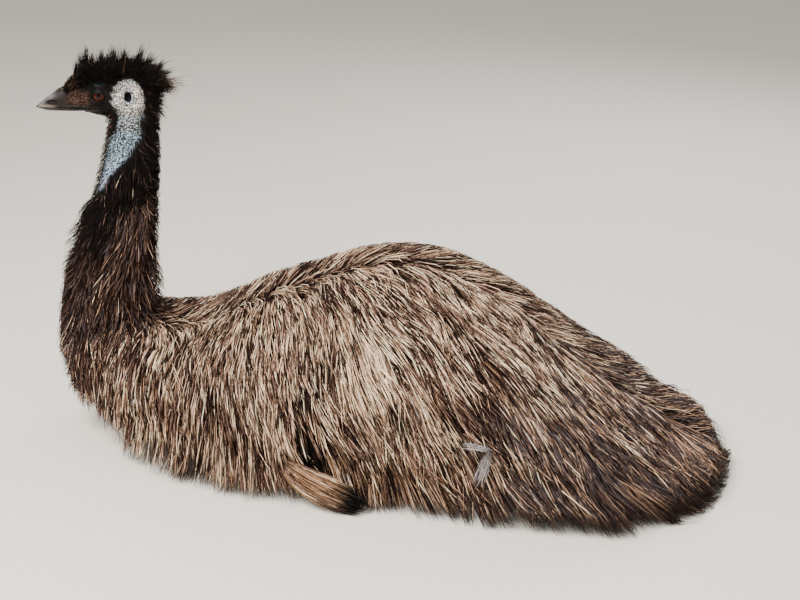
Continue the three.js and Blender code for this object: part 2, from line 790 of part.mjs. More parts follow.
// The coat: each lock is fused to its part, and a part gives way to its neighbours' locks.
const COATED = ["neck_lower", "wing_left", "wing_right", "torso", "thigh_left", "thigh_right", "tail"];
const LOCK_GAP = { width: 1, thickness: 1.4 };

function givingWay(piece, others) {
  for (const lock of others) {
    const grown = lockSolid(lock.path, lock.width + LOCK_GAP.width, lock.thickness + LOCK_GAP.thickness);
    piece = piece.subtract(grown);
  }
  return largest(piece);
}

for (const part of COATED) {
  const own = locks.filter((lock) => lock.part === part);
  const others = locks.filter((lock) => lock.part !== part);
  const coat = union(own.map((lock) => lockSolid(lock.path, lock.width, lock.thickness)));
  nodes.set(part, givingWay(nodes.get(part), others).add(coat.intersect(coatFloor)));
}
COATED.forEach((part, index) => {
  const earlier = COATED.slice(0, index);
  const over = locks.filter((lock) => earlier.includes(lock.part));
  const trimmed = givingWay(nodes.get(part), over);
  nodes.set(part, largest(earlier.reduce((left, other) => left.subtract(nodes.get(other)), trimmed)));
});

// The finish of each part, by the first word of its name
const FINISHES = {
  head: { color: 0x2a2320, roughness: 0.85 },
  bill: { color: 0x3f4248, roughness: 0.5 },
  eye: { color: 0x5a2412, roughness: 0.08 },
  ear: { color: 0xb9c0c2, roughness: 0.7 },
  neck: { color: 0x3a2f28, roughness: 0.85 },
  neck_upper: { color: 0x6f97a8, roughness: 0.7 },
  torso: { color: 0x57493c, roughness: 0.85 },
  wing: { color: 0x5d4e40, roughness: 0.85 },
  thigh: { color: 0x634f3c, roughness: 0.85 },
  tail: { color: 0x54402f, roughness: 0.85 },
  shank: { color: 0x4d463c, roughness: 0.75 },
  foot: { color: 0x463f37, roughness: 0.75 },
  claw: { color: 0x1d1b1a, roughness: 0.4 },
};

function meshOf(name, piece) {
  const { vertProperties, triVerts } = piece.getMesh();
  const geometry = new THREE.BufferGeometry();
  geometry.setAttribute("position", new THREE.BufferAttribute(vertProperties, 3));
  geometry.setIndex(new THREE.BufferAttribute(triVerts, 1));
  const finish = FINISHES[name] ?? FINISHES[name.split("_")[0]];
  const mesh = new THREE.Mesh(geometry, new THREE.MeshStandardMaterial({ metalness: 0, ...finish }));
  mesh.name = name;
  return mesh;
}

// The bird stands with the middle of its outline on the origin.
const emu = new THREE.Group();
for (const [name, piece] of nodes) emu.add(meshOf(name, piece));
const outline = new THREE.Box3().setFromObject(emu);
const middle = outline.getCenter(new THREE.Vector3());
for (const mesh of emu.children) mesh.geometry.translate(-middle.x, -middle.y, -outline.min.z);

export default emu;
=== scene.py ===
import math

import bpy
import numpy as np
from mathutils import Matrix, Vector


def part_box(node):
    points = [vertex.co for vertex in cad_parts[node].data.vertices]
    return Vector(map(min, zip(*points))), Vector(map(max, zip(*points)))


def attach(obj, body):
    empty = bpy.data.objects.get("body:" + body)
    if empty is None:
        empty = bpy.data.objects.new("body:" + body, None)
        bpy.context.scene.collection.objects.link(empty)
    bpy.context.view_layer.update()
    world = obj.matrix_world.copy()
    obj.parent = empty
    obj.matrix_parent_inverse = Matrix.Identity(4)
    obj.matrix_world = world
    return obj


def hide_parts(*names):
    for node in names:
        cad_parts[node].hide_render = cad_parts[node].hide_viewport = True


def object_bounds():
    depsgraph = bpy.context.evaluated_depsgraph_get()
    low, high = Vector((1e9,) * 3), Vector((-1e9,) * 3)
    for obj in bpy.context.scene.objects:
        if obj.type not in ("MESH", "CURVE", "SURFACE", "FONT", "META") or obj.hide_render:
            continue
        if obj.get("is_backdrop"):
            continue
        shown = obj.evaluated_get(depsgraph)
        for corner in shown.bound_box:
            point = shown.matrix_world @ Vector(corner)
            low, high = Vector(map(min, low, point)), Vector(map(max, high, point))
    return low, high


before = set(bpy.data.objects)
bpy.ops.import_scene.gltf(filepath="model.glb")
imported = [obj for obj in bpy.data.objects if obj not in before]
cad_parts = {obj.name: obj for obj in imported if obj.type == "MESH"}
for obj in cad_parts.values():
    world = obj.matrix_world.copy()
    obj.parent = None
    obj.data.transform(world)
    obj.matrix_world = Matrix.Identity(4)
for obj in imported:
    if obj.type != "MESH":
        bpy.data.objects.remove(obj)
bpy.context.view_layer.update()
bpy.ops.object.select_all(action="DESELECT")


# The camera
# A short telephoto lens about a metre above the ground and two metres from the bird, on its left
# side, tipped down at it and held a little out of level. The bird's own sizes are in millimetres,
# measured from a point on the floor under it, and in_frame() carries them into the frame.
MM = 0.001
LEFT_EYE = (-489.15, -18.1, 574.0)
eye_low, eye_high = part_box("eye_left")
ORIGIN = np.array((eye_low + eye_high) / 2) - np.array(LEFT_EYE) * MM


def in_frame(points):
    return np.asarray(points, float) * MM + ORIGIN


CAMERA_HEIGHT = 1040
CAMERA_DISTANCE = 1850
CAMERA_ASIDE = 20
camera_turn, camera_pitch, camera_roll = (math.radians(a) for a in (6.0, 22.9, 1.4))
up = Vector((0, 0, 1))
away = Vector((-math.sin(camera_turn), math.cos(camera_turn), 0))
right = Vector((math.cos(camera_turn), math.sin(camera_turn), 0))
look = away * math.cos(camera_pitch) - up * math.sin(camera_pitch)
above = away * math.sin(camera_pitch) + up * math.cos(camera_pitch)
image_x = right * math.cos(camera_roll) + above * math.sin(camera_roll)
image_y = above * math.cos(camera_roll) - right * math.sin(camera_roll)
camera_place = up * CAMERA_HEIGHT - away * CAMERA_DISTANCE - right * CAMERA_ASIDE

camera = bpy.data.objects.new("camera", bpy.data.cameras.new("camera"))
bpy.context.scene.collection.objects.link(camera)
camera.data.sensor_width = 36
camera.data.lens = 56.25
camera.matrix_world = Matrix.Translation(in_frame(camera_place)) @ Matrix(
    (image_x, image_y, -look)
).transposed().to_4x4()
bpy.context.scene.camera = camera


# The skin
# One unbroken hide over the head, neck and body, bare and blue-white round the ear and down the
# throat, dark elsewhere, where the coat grows out of it. It is shaped from sections of the body,
# neck and skull that are run together, then cut for the eyes, ears and mouth.

# Each row of the body's sizes runs from the breast to the tail, of the neck's from its low end up,
# and of the skull's from the face back.
BREAST_X, TAIL_X = -565, 510
BODY_HALF_WIDTH = (0, 74, 142, 190, 219, 230, 234, 228, 172, 82, 0)
BODY_RIDGE = (168, 208, 204, 200, 276, 335, 277, 167, 91, 46, 16)
BODY_WIDEST = (168, 150, 132, 120, 116, 114, 104, 80, 50, 28, 16)
BODY_BELLY = (168, 62, 14, -5, -6, -6, -4, 8, 14, 12, 16)
BODY_ROUNDNESS = 2.25
KEEL_ROUNDNESS = 1.25
CORE_SIDE, CORE_TOP = 0.89, 0.93  # shares of the width and of the ridge's height without the coat
NECK_LOW, NECK_TOP = 160, 520
NECK_X = (-515, -506, -493, -473, -457, -446)
NECK_HALF_DEPTH = (74, 70, 60, 51, 41, 33)
NECK_HALF_WIDTH = (80, 66, 54, 44, 33, 28)
NECK_CORE = (0.84, 0.83, 0.85, 0.92, 1.0, 1.0)  # the same up the neck
SKIN_DEPTH = 2.0  # how far the skin of the body lies under the roots of the coat

HEAD_PLACE = np.array((-493.0, 0.0, 574.0))
HEAD_YAW = math.radians(12)
SKULL_X = (-62, 77)
SKULL_TOP = (-8, 11, 27, 35, 36, 30, -2)
SKULL_BOTTOM = (-8, -29, -30, -38, -49, -40, -2)
SKULL_HALF_WIDTH = (0, 13, 22, 28, 29, 24, 0)
EYE_RADIUS, EYE_OFFSET = 12.5, 18.5
LID_RADIUS = 14.4
EAR_PLACE = (44, 27.0, -2)
MOUTH_Z, MOUTH_SLOPE, MOUTH_CORNER = -21.5, 0.015, 3


def mix(a, b, t):
    return a + (b - a) * t


def ease(t):
    t = np.clip(t, 0, 1)
    return t * t * (3 - 2 * t)


def station(values, t):
    """A smooth curve through evenly spaced values, for t from 0 to 1."""
    values = np.asarray(values, float)
    last = len(values) - 1
    place = np.clip(t, 0, 1) * last
    i = np.minimum(place.astype(int), last - 1)
    f = place - i
    ends = [2 * values[0] - values[1]], values, [2 * values[-1] - values[-2]]
    before, a, b, after = (np.concatenate(ends)[i + k] for k in range(4))
    slope_a, slope_b = (b - before) / 2, (after - a) / 2
    start = a * (2 * f**3 - 3 * f**2 + 1) + slope_a * (f**3 - 2 * f**2 + f)
    return start + b * (3 * f**2 - 2 * f**3) + slope_b * (f**3 - f**2)


def length_share(x):
    """Where a place along the body lies in its rows of sizes, from 0 at the breast to 1."""
    return np.arccos(np.clip(1 - 2 * (x - BREAST_X) / (TAIL_X - BREAST_X), -1, 1)) / np.pi


def signed_power(value, power):
    return np.sign(value) * np.abs(value) ** power


def body_point(t, angle, depth=0.0):
    """A point on the body under the coat; the angle runs from the ridge round to the left."""
    upper = np.cos(angle) > 0
    power = 2 / np.where(upper, BODY_ROUNDNESS, KEEL_ROUNDNESS)
    widest = station(BODY_WIDEST, t)
    rise = (station(BODY_RIDGE, t) - widest) * CORE_TOP - depth
    drop = widest - station(BODY_BELLY, t) - depth
    half = np.maximum(station(BODY_HALF_WIDTH, t) * CORE_SIDE - depth, 0)
    x = mix(BREAST_X + depth, TAIL_X - depth, (1 - np.cos(np.pi * t)) / 2)
    y = -half * signed_power(np.sin(angle), power)
    z = widest + np.where(upper, rise, drop) * signed_power(np.cos(angle), power)
    return np.stack((x, y, z), -1)


def neck_section(z):
    """The middle, half depth and half width of the neck under its coat at a height."""
    t = np.clip((z - NECK_LOW) / (NECK_TOP - NECK_LOW), 0, 1)
    core = station(NECK_CORE, t)
    return station(NECK_X, t), station(NECK_HALF_DEPTH, t) * core, station(NECK_HALF_WIDTH, t) * core


def neck_point(z, angle, fill=1.0):
    """A point on the neck under its coat; the angle runs from the nape round to the right."""
    x, half_depth, half_width = neck_section(z)
    return np.stack((x + half_depth * fill * np.cos(angle), half_width * fill * np.sin(angle), z), -1)


def skull_point(t, angle, depth=0.0):
    """A point on the skull in the head's frame; the angle runs from the crown round to the left."""
    top, bottom = station(SKULL_TOP, t) - depth, station(SKULL_BOTTOM, t) + depth
    x = mix(*SKULL_X, (1 - np.cos(np.pi * t)) / 2)
    y = -np.maximum(station(SKULL_HALF_WIDTH, t) - depth, 0) * np.sin(angle)
    return np.stack((x, y, (top + bottom) / 2 + (top - bottom) / 2 * np.cos(angle)), -1)


turned = np.array(Matrix.Rotation(HEAD_YAW, 3, "Z"))


def head_placed(points):
    """Carries points from the head's frame, whose middle lies between the eyes, to the bird's."""
    return np.asarray(points, float) @ turned.T + HEAD_PLACE


def head_local(points):
    return (np.asarray(points, float) - HEAD_PLACE) @ turned


def coordinates(mesh):
    flat = np.empty(len(mesh.vertices) * 3)
    mesh.vertices.foreach_get("co", flat)
    return flat.reshape(-1, 3)


def turn_faces_out():
    """Points the faces of the active piece outwards."""
    bpy.ops.object.mode_set(mode="EDIT")
    bpy.ops.mesh.select_all(action="SELECT")
    bpy.ops.mesh.normals_make_consistent(inside=False)
    bpy.ops.object.mode_set(mode="OBJECT")


def ball(name, around, along, place):
    """A sphere whose points go where place(share of the length, angle) says, in millimetres."""
    bpy.ops.object.select_all(action="DESELECT")
    bpy.ops.mesh.primitive_uv_sphere_add(segments=around, ring_count=along)
    made = bpy.context.active_object
    made.name = made.data.name = name
    co = coordinates(made.data)
    t = np.arccos(np.clip(-co[:, 2], -1, 1)) / np.pi
    angle = np.where(np.abs(co[:, 2]) > 0.99999, 0.0, np.arctan2(co[:, 1], co[:, 0]))
    made.data.vertices.foreach_set("co", in_frame(place(t, angle)).ravel())
    made.data.update()
    turn_faces_out()
    return made


def sphere(name, centre, radii, around=24, along=16):
    """An ellipsoid given in the head's frame."""

    def place(t, angle):
        ring = np.sin(np.pi * t)
        round_one = np.stack((-np.cos(np.pi * t), ring * np.cos(angle), ring * np.sin(angle)), -1)
        return head_placed(round_one * radii + np.array(centre))

    return ball(name, around, along, place)


def apply(made, kind, **settings):
    """Adds a modifier with its settings and applies it."""
    bpy.ops.object.select_all(action="DESELECT")
    bpy.context.view_layer.objects.active = made
    made.select_set(True)
    modifier = made.modifiers.new(kind.lower(), kind)
    for key, value in settings.items():
        setattr(modifier, key, value)
    bpy.ops.object.modifier_apply(modifier=modifier.name)


def combine(made, other, operation):
    apply(made, "BOOLEAN", operation=operation, object=other, solver="EXACT")
    bpy.data.objects.remove(other)


def in_bird(mesh):
    return (coordinates(mesh) - ORIGIN) / MM


NECK_RUNS_DOWN, NECK_RUNS_UP = 70, 26  # how far the neck's form goes on into body and head
NECK_FILL = 0.985  # the skin's share of the neck's section under the coat


def neck_rounded(t, angle):
    """The neck's form, with a long taper into the body and a blunt end inside the skull."""
    z = mix(NECK_LOW - NECK_RUNS_DOWN, NECK_TOP + NECK_RUNS_UP, (1 - np.cos(np.pi * t)) / 2)
    low_end = np.sin(np.pi / 2 * np.minimum(1, t / 0.4))
    top_end = np.minimum(1, np.sin(np.pi * t) * 2.6) ** 0.8
    return neck_point(z, angle, np.where(t < 0.5, low_end, top_end) * NECK_FILL)


# The skull, neck and lids are run together and relaxed, most of all under the cheeks.
SKULL_SKIN_DEPTH = 0.4
VOXEL = 0.0019
JOWL_Z, JOWL_FADE = -24, 14
hide = ball("skin", 40, 32, lambda t, a: head_placed(skull_point(t, a, SKULL_SKIN_DEPTH)))
combine(hide, ball("neck", 40, 40, neck_rounded), "UNION")
for side in (-1, 1):
    combine(hide, sphere("lid", (0, side * EYE_OFFSET, 0), (LID_RADIUS,) * 3, 24, 20), "UNION")
apply(hide, "REMESH", mode="VOXEL", voxel_size=VOXEL, use_smooth_shade=True)
throat = hide.vertex_groups.new(name="throat")
for index, height in enumerate(head_local(in_bird(hide.data))[:, 2]):
    if height < JOWL_Z:
        throat.add([index], float(ease((JOWL_Z - height) / JOWL_FADE)), "REPLACE")
apply(hide, "SMOOTH", factor=0.5, iterations=26, vertex_group="throat")
apply(hide, "SMOOTH", factor=0.5, iterations=2)

# The slit between the lids, the eyeball's seat behind it, and the ear's opening are cut out.
EYE_SLIT = (10.2, 16, 6.1)
SEAT_GAP = 0.3
EAR_OPENING = (6.2, 10, 9.6)
for side in (-1, 1):
    slit = sphere("slit", (-0.5, side * (EYE_OFFSET + 13), -1.4), EYE_SLIT)
    combine(hide, slit, "DIFFERENCE")
    seat = sphere("seat", (0, side * EYE_OFFSET, 0), (EYE_RADIUS + SEAT_GAP,) * 3)
    combine(hide, seat, "DIFFERENCE")
    opening = sphere("opening", (EAR_PLACE[0], side * (EAR_PLACE[1] + 4), EAR_PLACE[2]), EAR_OPENING)
    combine(hide, opening, "DIFFERENCE")
combine(hide, ball("body", 96, 64, lambda t, a: body_point(t, a, SKIN_DEPTH)), "UNION")


def over_mouth(head):
    """Height of points in the head's frame over the line on which the mouth closes."""
    return head[:, 2] - MOUTH_Z - MOUTH_SLOPE * head[:, 0]


# The mouth's groove runs from the bill to a corner under the eye.
GROOVE_HALF_WIDTH, GROOVE_DEPTH = 1.5, 2.0
THROAT_Z = -30  # the jaws end over this height in the head's frame
REST_Z = 0.4  # the keel is flat where it rests
skin_points = in_bird(hide.data)
skin_head = head_local(skin_points)
groove = np.exp(-((over_mouth(skin_head) / GROOVE_HALF_WIDTH) ** 2))
groove *= ease((MOUTH_CORNER + 3 - skin_head[:, 0]) / 8)
groove *= (skin_head[:, 2] > THROAT_Z) & (np.abs(skin_head[:, 1]) < 40)
skin_head[:, 1] -= np.sign(skin_head[:, 1]) * groove * GROOVE_DEPTH
skin_points = np.where(groove[:, None] > 0.01, head_placed(skin_head), skin_points)
skin_points[:, 2] = np.maximum(skin_points[:, 2], REST_Z)
hide.data.vertices.foreach_set("co", in_frame(skin_points).ravel())
hide.data.shade_smooth()


def linear(code):
    """The linear colour of an sRGB hex value."""
    channels = [int(code[i : i + 2], 16) / 255 for i in (0, 2, 4)]
    return np.array([c / 12.92 if c <= 0.04045 else ((c + 0.055) / 1.055) ** 2.4 for c in channels])


def spot(points, centre, radii, edge=0.35):
    """1 inside an ellipsoid, falling smoothly to 0 outside it."""
    r = np.linalg.norm((points - np.array(centre)) / np.array(radii), axis=1)
    return ease((1 + edge - r) / (2 * edge))


SIDE_VIEW = (1, 0, 1)  # times a point, it drops the width, so that a marking lies on both sides
BARE_EDGE_X = (-499, -479, -458, -434, -420, -418)  # back edge of the bare skin up the neck
BARE_EDGE_Z = (412, 540)
BARE_FROM_Z = 398
JAW_EDGE_Z, JAW_EDGE_X = (-84, -68, -48, -30), (-45, 5, 20, 24)  # its front edge under the jaw
CHEEK, CHEEK_RADII = (45, 0, -8), (25, 1, 32)  # the bare patch round the ear
NAPE_EDGE_X, NAPE_EDGE_Y = (48, 64, 76), (0, 7, 15)  # where the nape's bristles end beside it
BROW = (1, 0, 18)


def bare_skin(points):
    """1 on the bare skin of the throat and round the ear, 0 under the bristles and the coat."""
    head = head_local(points)
    edge = station(BARE_EDGE_X, (points[:, 2] - BARE_EDGE_Z[0]) / (BARE_EDGE_Z[1] - BARE_EDGE_Z[0]))
    wobble = 3 * np.sin(points[:, 2] / 7) * np.sin(points[:, 1] / 9 + 1)
    throat_bare = ease((edge + wobble - points[:, 0]) / 12) * ease((points[:, 2] - BARE_FROM_Z) / 16)
    throat_bare *= ease((THROAT_Z - head[:, 2] + 0.55 * (head[:, 0] + 14)) / 9)
    throat_bare *= ease((head[:, 0] - np.interp(head[:, 2], JAW_EDGE_Z, JAW_EDGE_X)) / 7)
    ragged = 2.2 * np.sin(head[:, 2] / 2.3 + 1.5 * np.sin(head[:, 0] / 3.1))
    cheek = spot(head * SIDE_VIEW + (1, 0, 0) * ragged[:, None], CHEEK, CHEEK_RADII, 0.16)
    cheek *= ease((np.abs(head[:, 1]) - np.interp(head[:, 0], NAPE_EDGE_X, NAPE_EDGE_Y)) / 4)
    return np.maximum(throat_bare, cheek * (head[:, 2] > -60))


def jaw_strip(head):
    """1 on the smooth, horny edges of the jaws that carry the bill back under the eye."""
    from_mouth = over_mouth(head)
    inside = ease((from_mouth + 8.5) / 3) * ease((4.5 - from_mouth) / 2)
    return inside * ease((MOUTH_CORNER - 2 - head[:, 0]) / 6)


def skin_colour(points):
    """Near black under the coat and on the face, then lighter places laid over it."""
    head = head_local(points)
    colour = np.tile(linear("100d0b"), (len(points), 1))

    def lay(hex_code, amount):
        nonlocal colour
        colour = mix(colour, linear(hex_code), np.clip(amount, 0, 1)[:, None])

    lay("32261f", ease((300 - points[:, 2]) / 60))  # the bases of the body's feathers
    flat = head * SIDE_VIEW
    lay("604539", spot(flat, (-32, 0, -6), (19, 1, 12), 0.6))  # brown before the eye
    lay("332b2a", ease((-42 + 0.6 * head[:, 2] - head[:, 0]) / 12))  # where it meets the bill
    lay("2b2422", jaw_strip(head))
    # a thin teal strip along the brow, partly bluish skin and partly a painted highlight
    lay("35575c", spot(flat, BROW, (12, 1, 2.8), 0.5) * 0.8)
    bare = bare_skin(points)
    lay("9fb6c3", bare)  # grey-blue, and a clearer blue down the throat
    lay("cbe2fc", bare * ease((500 - points[:, 2]) / 55))
    lay("fbf8f2", spot(flat, (44, 0, -4), (28, 1, 29), 0.3) * bare)  # white round the ear
    lay("a9acaa", bare * spot(flat, (46, 0, -42), (24, 1, 13), 0.6) * 0.8)  # grey under it
    # painted shade inside the ear's opening
    lay("090a10", spot(flat, (EAR_PLACE[0], 0, EAR_PLACE[2]), (7.4, 1, 11.0), 0.1))
    lay("0e0b0a", spot(flat, (0, 0, 0), (14, 1, 12), 0.25))  # the lids
    on_jaws = head[:, 2] > THROAT_Z
    lip = np.exp(-(((over_mouth(head) - 3) / 1.1) ** 2)) * ease((-14 - head[:, 0]) / 12)
    lay("564b46", lip * on_jaws)
    # painted shade along the mouth's groove, where the jaws meet
    mouth_line_shade = np.exp(-((over_mouth(head) / 1.6) ** 2))
    lay("0b0908", mouth_line_shade * ease((MOUTH_CORNER + 3 - head[:, 0]) / 6) * on_jaws)
    return colour


def paint(mesh, colours):
    """Keeps a linear colour for each point in the attribute that the materials read."""
    layer = mesh.attributes.new("Tint", "FLOAT_COLOR", "POINT")
    layer.data.foreach_set("color", np.column_stack((colours, np.ones(len(colours)))).ravel())


paint(hide.data, skin_colour(skin_points))


def new_material(name):
    material = bpy.data.materials.new(name)
    material.use_nodes = True
    material.node_tree.nodes.clear()
    return material


def node(material, kind, links=None, values=None, stops=(), **settings):
    """Adds a node. Its links are socket: (node, output), its values are socket: value, its stops
    are a ramp's places and colours, and settings go to its properties or to sockets by name."""
    made = material.node_tree.nodes.new(kind)
    for key, value in settings.items():
        if hasattr(made, key):
            setattr(made, key, value)
        else:
            made.inputs[key.replace("_", " ")].default_value = value
    for socket, value in (values or {}).items():
        made.inputs[socket].default_value = value
    for socket, (source, output) in (links or {}).items():
        material.node_tree.links.new(source.outputs[output], made.inputs[socket])
    if stops:
        elements = made.color_ramp.elements
        while len(elements) < len(stops):
            elements.new(1.0)
        for element, (at, code) in zip(elements, stops):
            element.position = at
            element.color = (*linear(code), 1)
    return made


# Living skin over fat and feather bases: soft, slightly oily, with a pebbled grain of 2 mm, drawn
# coarser than life so that it shows, and dark between the pebbles, where short hairs stand.
PEBBLES_A_METRE = 480.0
BLOTCHES_A_METRE = 150.0  # 7 mm each
bird_skin = new_material("living_skin")
tint = node(bird_skin, "ShaderNodeAttribute", attribute_name="Tint")
place = node(bird_skin, "ShaderNodeTexCoord")
on_skin = {"Vector": (place, "Object")}
pebbles = node(bird_skin, "ShaderNodeTexVoronoi", on_skin, Scale=PEBBLES_A_METRE)
blotch = node(bird_skin, "ShaderNodeTexNoise", on_skin, Scale=BLOTCHES_A_METRE, Detail=4.0)
between = node(
    bird_skin,
    "ShaderNodeMapRange",
    {"Value": (pebbles, "Distance")},
    From_Min=0.26,
    From_Max=0.58,
    To_Min=1.2,
    To_Max=0.08,
)
patchy = node(
    bird_skin,
    "ShaderNodeMapRange",
    {"Value": (blotch, "Fac")},
    From_Min=0.3,
    From_Max=0.7,
    To_Min=0.7,
    To_Max=1.2,
)
both = node(bird_skin, "ShaderNodeMath", {0: (between, 0), 1: (patchy, 0)}, operation="MULTIPLY")
by_both = {0: (tint, "Color"), "Scale": (both, 0)}
shaded = node(bird_skin, "ShaderNodeVectorMath", by_both, operation="SCALE")
bump = node(bird_skin, "ShaderNodeBump", {"Height": (pebbles, "Distance")}, Strength=0.35, Distance=0.0006)
surface_of = {"Base Color": (shaded, 0), "Normal": (bump, 0)}
shader = node(bird_skin, "ShaderNodeBsdfPrincipled", surface_of, Roughness=0.6, Specular_IOR_Level=0.12)
node(bird_skin, "ShaderNodeOutputMaterial", {"Surface": (shader, 0)})
hide.data.materials.append(bird_skin)
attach(hide, "root")
flesh = ["head", "neck_upper", "neck_lower", "torso", "tail"]
flesh += [part + side for part in ("wing_", "thigh_") for side in ("left", "right")]
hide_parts(*flesh)


# The eyes
# Two wet balls, 25 mm across, that show a red-brown iris between the lids and a round dark pupil.
# Each is a clear, glossy cornea over the iris, turned straight out to its side of the head.

# The iris's colours lie at shares of the eyeball's radius, from the pupil's middle to the rim.
IRIS_RINGS = (
    (0.0, "050404"),
    (0.31, "050303"),
    (0.38, "30110a"),
    (0.6, "3f160b"),
    (0.74, "210b06"),
    (0.84, "080505"),
)
IRIS_FIBRES_A_METRE = 900.0  # 1.1 mm each
IRIS_WAVE = 0.12


def eye_material(name, side):
    """A wet eye: a black pupil, an iris that is redder and lighter near it, and a dark rim."""
    eye = new_material(name)
    place = node(eye, "ShaderNodeTexCoord")
    local = node(
        eye,
        "ShaderNodeMapping",
        {"Vector": (place, "Object")},
        vector_type="TEXTURE",
        Location=in_frame(head_placed((0, side * EYE_OFFSET, 0))),
        Rotation=(0, 0, HEAD_YAW),
    )
    flat = node(eye, "ShaderNodeVectorMath", {0: (local, 0)}, {1: SIDE_VIEW}, operation="MULTIPLY")
    out = node(eye, "ShaderNodeVectorMath", {0: (flat, 0)}, operation="LENGTH")
    to_share = {1: 1 / (EYE_RADIUS * MM)}
    radius = node(eye, "ShaderNodeMath", {0: (out, "Value")}, to_share, operation="MULTIPLY")
    at_place = {"Vector": (place, "Object")}
    fibres = node(eye, "ShaderNodeTexNoise", at_place, Scale=IRIS_FIBRES_A_METRE, Detail=3.0)
    summed = {0: (fibres, "Fac"), 2: (radius, 0)}
    wavy = node(eye, "ShaderNodeMath", summed, {1: IRIS_WAVE}, operation="MULTIPLY_ADD")
    rings = node(eye, "ShaderNodeValToRGB", {"Fac": (wavy, 0)}, stops=IRIS_RINGS)
    shader = node(
        eye,
        "ShaderNodeBsdfPrincipled",
        {"Base Color": (rings, 0)},
        Roughness=0.5,
        Specular_IOR_Level=0.0,
        Coat_Weight=0.3,
        Coat_Roughness=0.03,
    )
    node(eye, "ShaderNodeOutputMaterial", {"Surface": (shader, 0)})
    return eye


for side, name in ((-1, "left"), (1, "right")):
    eyeball = sphere("eyeball_" + name, (0, side * EYE_OFFSET, 0), (EYE_RADIUS,) * 3, 40, 28)
    eyeball.data.shade_smooth()
    eyeball.data.materials.append(eye_material("wet_eye_" + name, side))
    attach(eyeball, "root")
    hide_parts("eye_" + name)


# The bill
# A broad, flattened bill of dark grey horn with a rounded ridge, a long slot of a nostril on each
# side and a blunt nail at the tip. The two halves meet along the mouth, the upper a little longer.
BILL_X = (-101, -30)
BILL_TOP = (-23, -9, 4, 13, 19)
BILL_BOTTOM = (-23, -28.5, -29.5, -30, -30)
BILL_HALF_WIDTH = (0, 8, 11, 13, 15)
MOUTH_GAP = 0.25  # from the mouth's line to each half
NOSTRIL = (-73, 9.6, -13.5)
NOSTRIL_RADII = (9.5, 3.4, 2.9)


def bill_point(t, angle):
    """A point on the whole bill; the ridge is a little sharper than an oval's top."""
    share = (1 - np.cos(np.pi * t)) / 2
    half = station(BILL_HALF_WIDTH, share**0.7)
    top, bottom = station(BILL_TOP, share), station(BILL_BOTTOM, share)
    up_share = np.cos(angle) * (1 - 0.12 * np.sin(angle) ** 2)
    x = mix(BILL_X[0], BILL_X[1], share)
    z = mix(bottom, top, 0.5 + up_share / 2)
    return head_placed(np.stack((x, -np.sin(angle) * half, z), -1))


def half_bill(name, keep_upper):
    """The bill cut along the mouth, with the cut closed."""
    made = ball(name, 40, 36, bill_point)
    gap = MOUTH_GAP if keep_upper else -MOUTH_GAP
    on_mouth = Vector(in_frame(head_placed((0, 0, MOUTH_Z + gap))))
    normal = Vector(turned @ np.array((-MOUTH_SLOPE, 0, 1))).normalized()
    bpy.ops.object.mode_set(mode="EDIT")
    bpy.ops.mesh.select_all(action="SELECT")
    bpy.ops.mesh.bisect(
        plane_co=on_mouth,
        plane_no=normal,
        use_fill=True,
        clear_inner=keep_upper,
        clear_outer=not keep_upper,
    )
    bpy.ops.object.mode_set(mode="OBJECT")
    return made


def horn_colour(head):
    """Grey along the ridge as a painted highlight, painted shade by the nostrils, dark below, with pale
    cutting edges and a dark tip.
    """
    share = (head[:, 0] - BILL_X[0]) / (BILL_X[1] - BILL_X[0])
    from_mouth = over_mouth(head)
    height = np.clip(from_mouth / np.maximum(station(BILL_TOP, share) - MOUTH_Z, 4), 0, 1)
    edge_height = 0.9 + 1.6 * ease((-62 - head[:, 0]) / 12)
    # painted shade in and round the nostrils' slots
    nostril = spot(head * SIDE_VIEW, (NOSTRIL[0] + 2, 0, NOSTRIL[2]), (14, 1, 5.5), 0.4)
    colour = np.tile(linear("2b2625"), (len(head), 1))
    for code, amount in (
        ("605d60", ease((height - 0.42) / 0.4)),  # the ridge, a painted highlight on its lit top
        ("1d1918", ease(-from_mouth / 2)),  # the lower half
        ("4a4340", 0.7 * np.exp(-(((from_mouth + 3.2) / 1.4) ** 2))),  # its cutting edge
        ("81786f", 0.85 * np.exp(-(((from_mouth - 2.4) / edge_height) ** 2))),  # the upper one
        ("1a1110", 0.95 * nostril),
        ("1f1a18", ease((head[:, 0] + 79) / 17)),  # towards the face
        ("1f1b1a", 0.8 * ease((-88 - head[:, 0]) / 12)),  # the tip
    ):
        colour = mix(colour, linear(code), amount[:, None])
    return colour


# Horn grown in thin layers: satin, a warm dark grey, with a painted highlight along the ridge and fine
# streaks that run from the face to the tip.
HORN_STREAKS_A_METRE = (70, 420, 420)  # streaks 14 mm long and 2.4 mm apart
horn = new_material("bill_horn")
place = node(horn, "ShaderNodeTexCoord")
along = node(
    horn,
    "ShaderNodeMapping",
    {"Vector": (place, "Object")},
    Rotation=(0, 0, -HEAD_YAW),
    Scale=HORN_STREAKS_A_METRE,
)
streaks = node(horn, "ShaderNodeTexNoise", {"Vector": (along, 0)}, Scale=1.0, Detail=5.0)
layered = node(
    horn,
    "ShaderNodeMapRange",
    {"Value": (streaks, "Fac")},
    From_Min=0.32,
    From_Max=0.7,
    To_Min=0.55,
    To_Max=1.35,
)
tint = node(horn, "ShaderNodeAttribute", attribute_name="Tint")
by_layers = {0: (tint, "Color"), "Scale": (layered, 0)}
shades = node(horn, "ShaderNodeVectorMath", by_layers, operation="SCALE")
bump = node(horn, "ShaderNodeBump", {"Height": (streaks, "Fac")}, Strength=0.25, Distance=0.0005)
surface_of = {"Base Color": (shades, 0), "Normal": (bump, 0)}
shader = node(horn, "ShaderNodeBsdfPrincipled", surface_of, Roughness=0.5, Specular_IOR_Level=0.14)
node(horn, "ShaderNodeOutputMaterial", {"Surface": (shader, 0)})

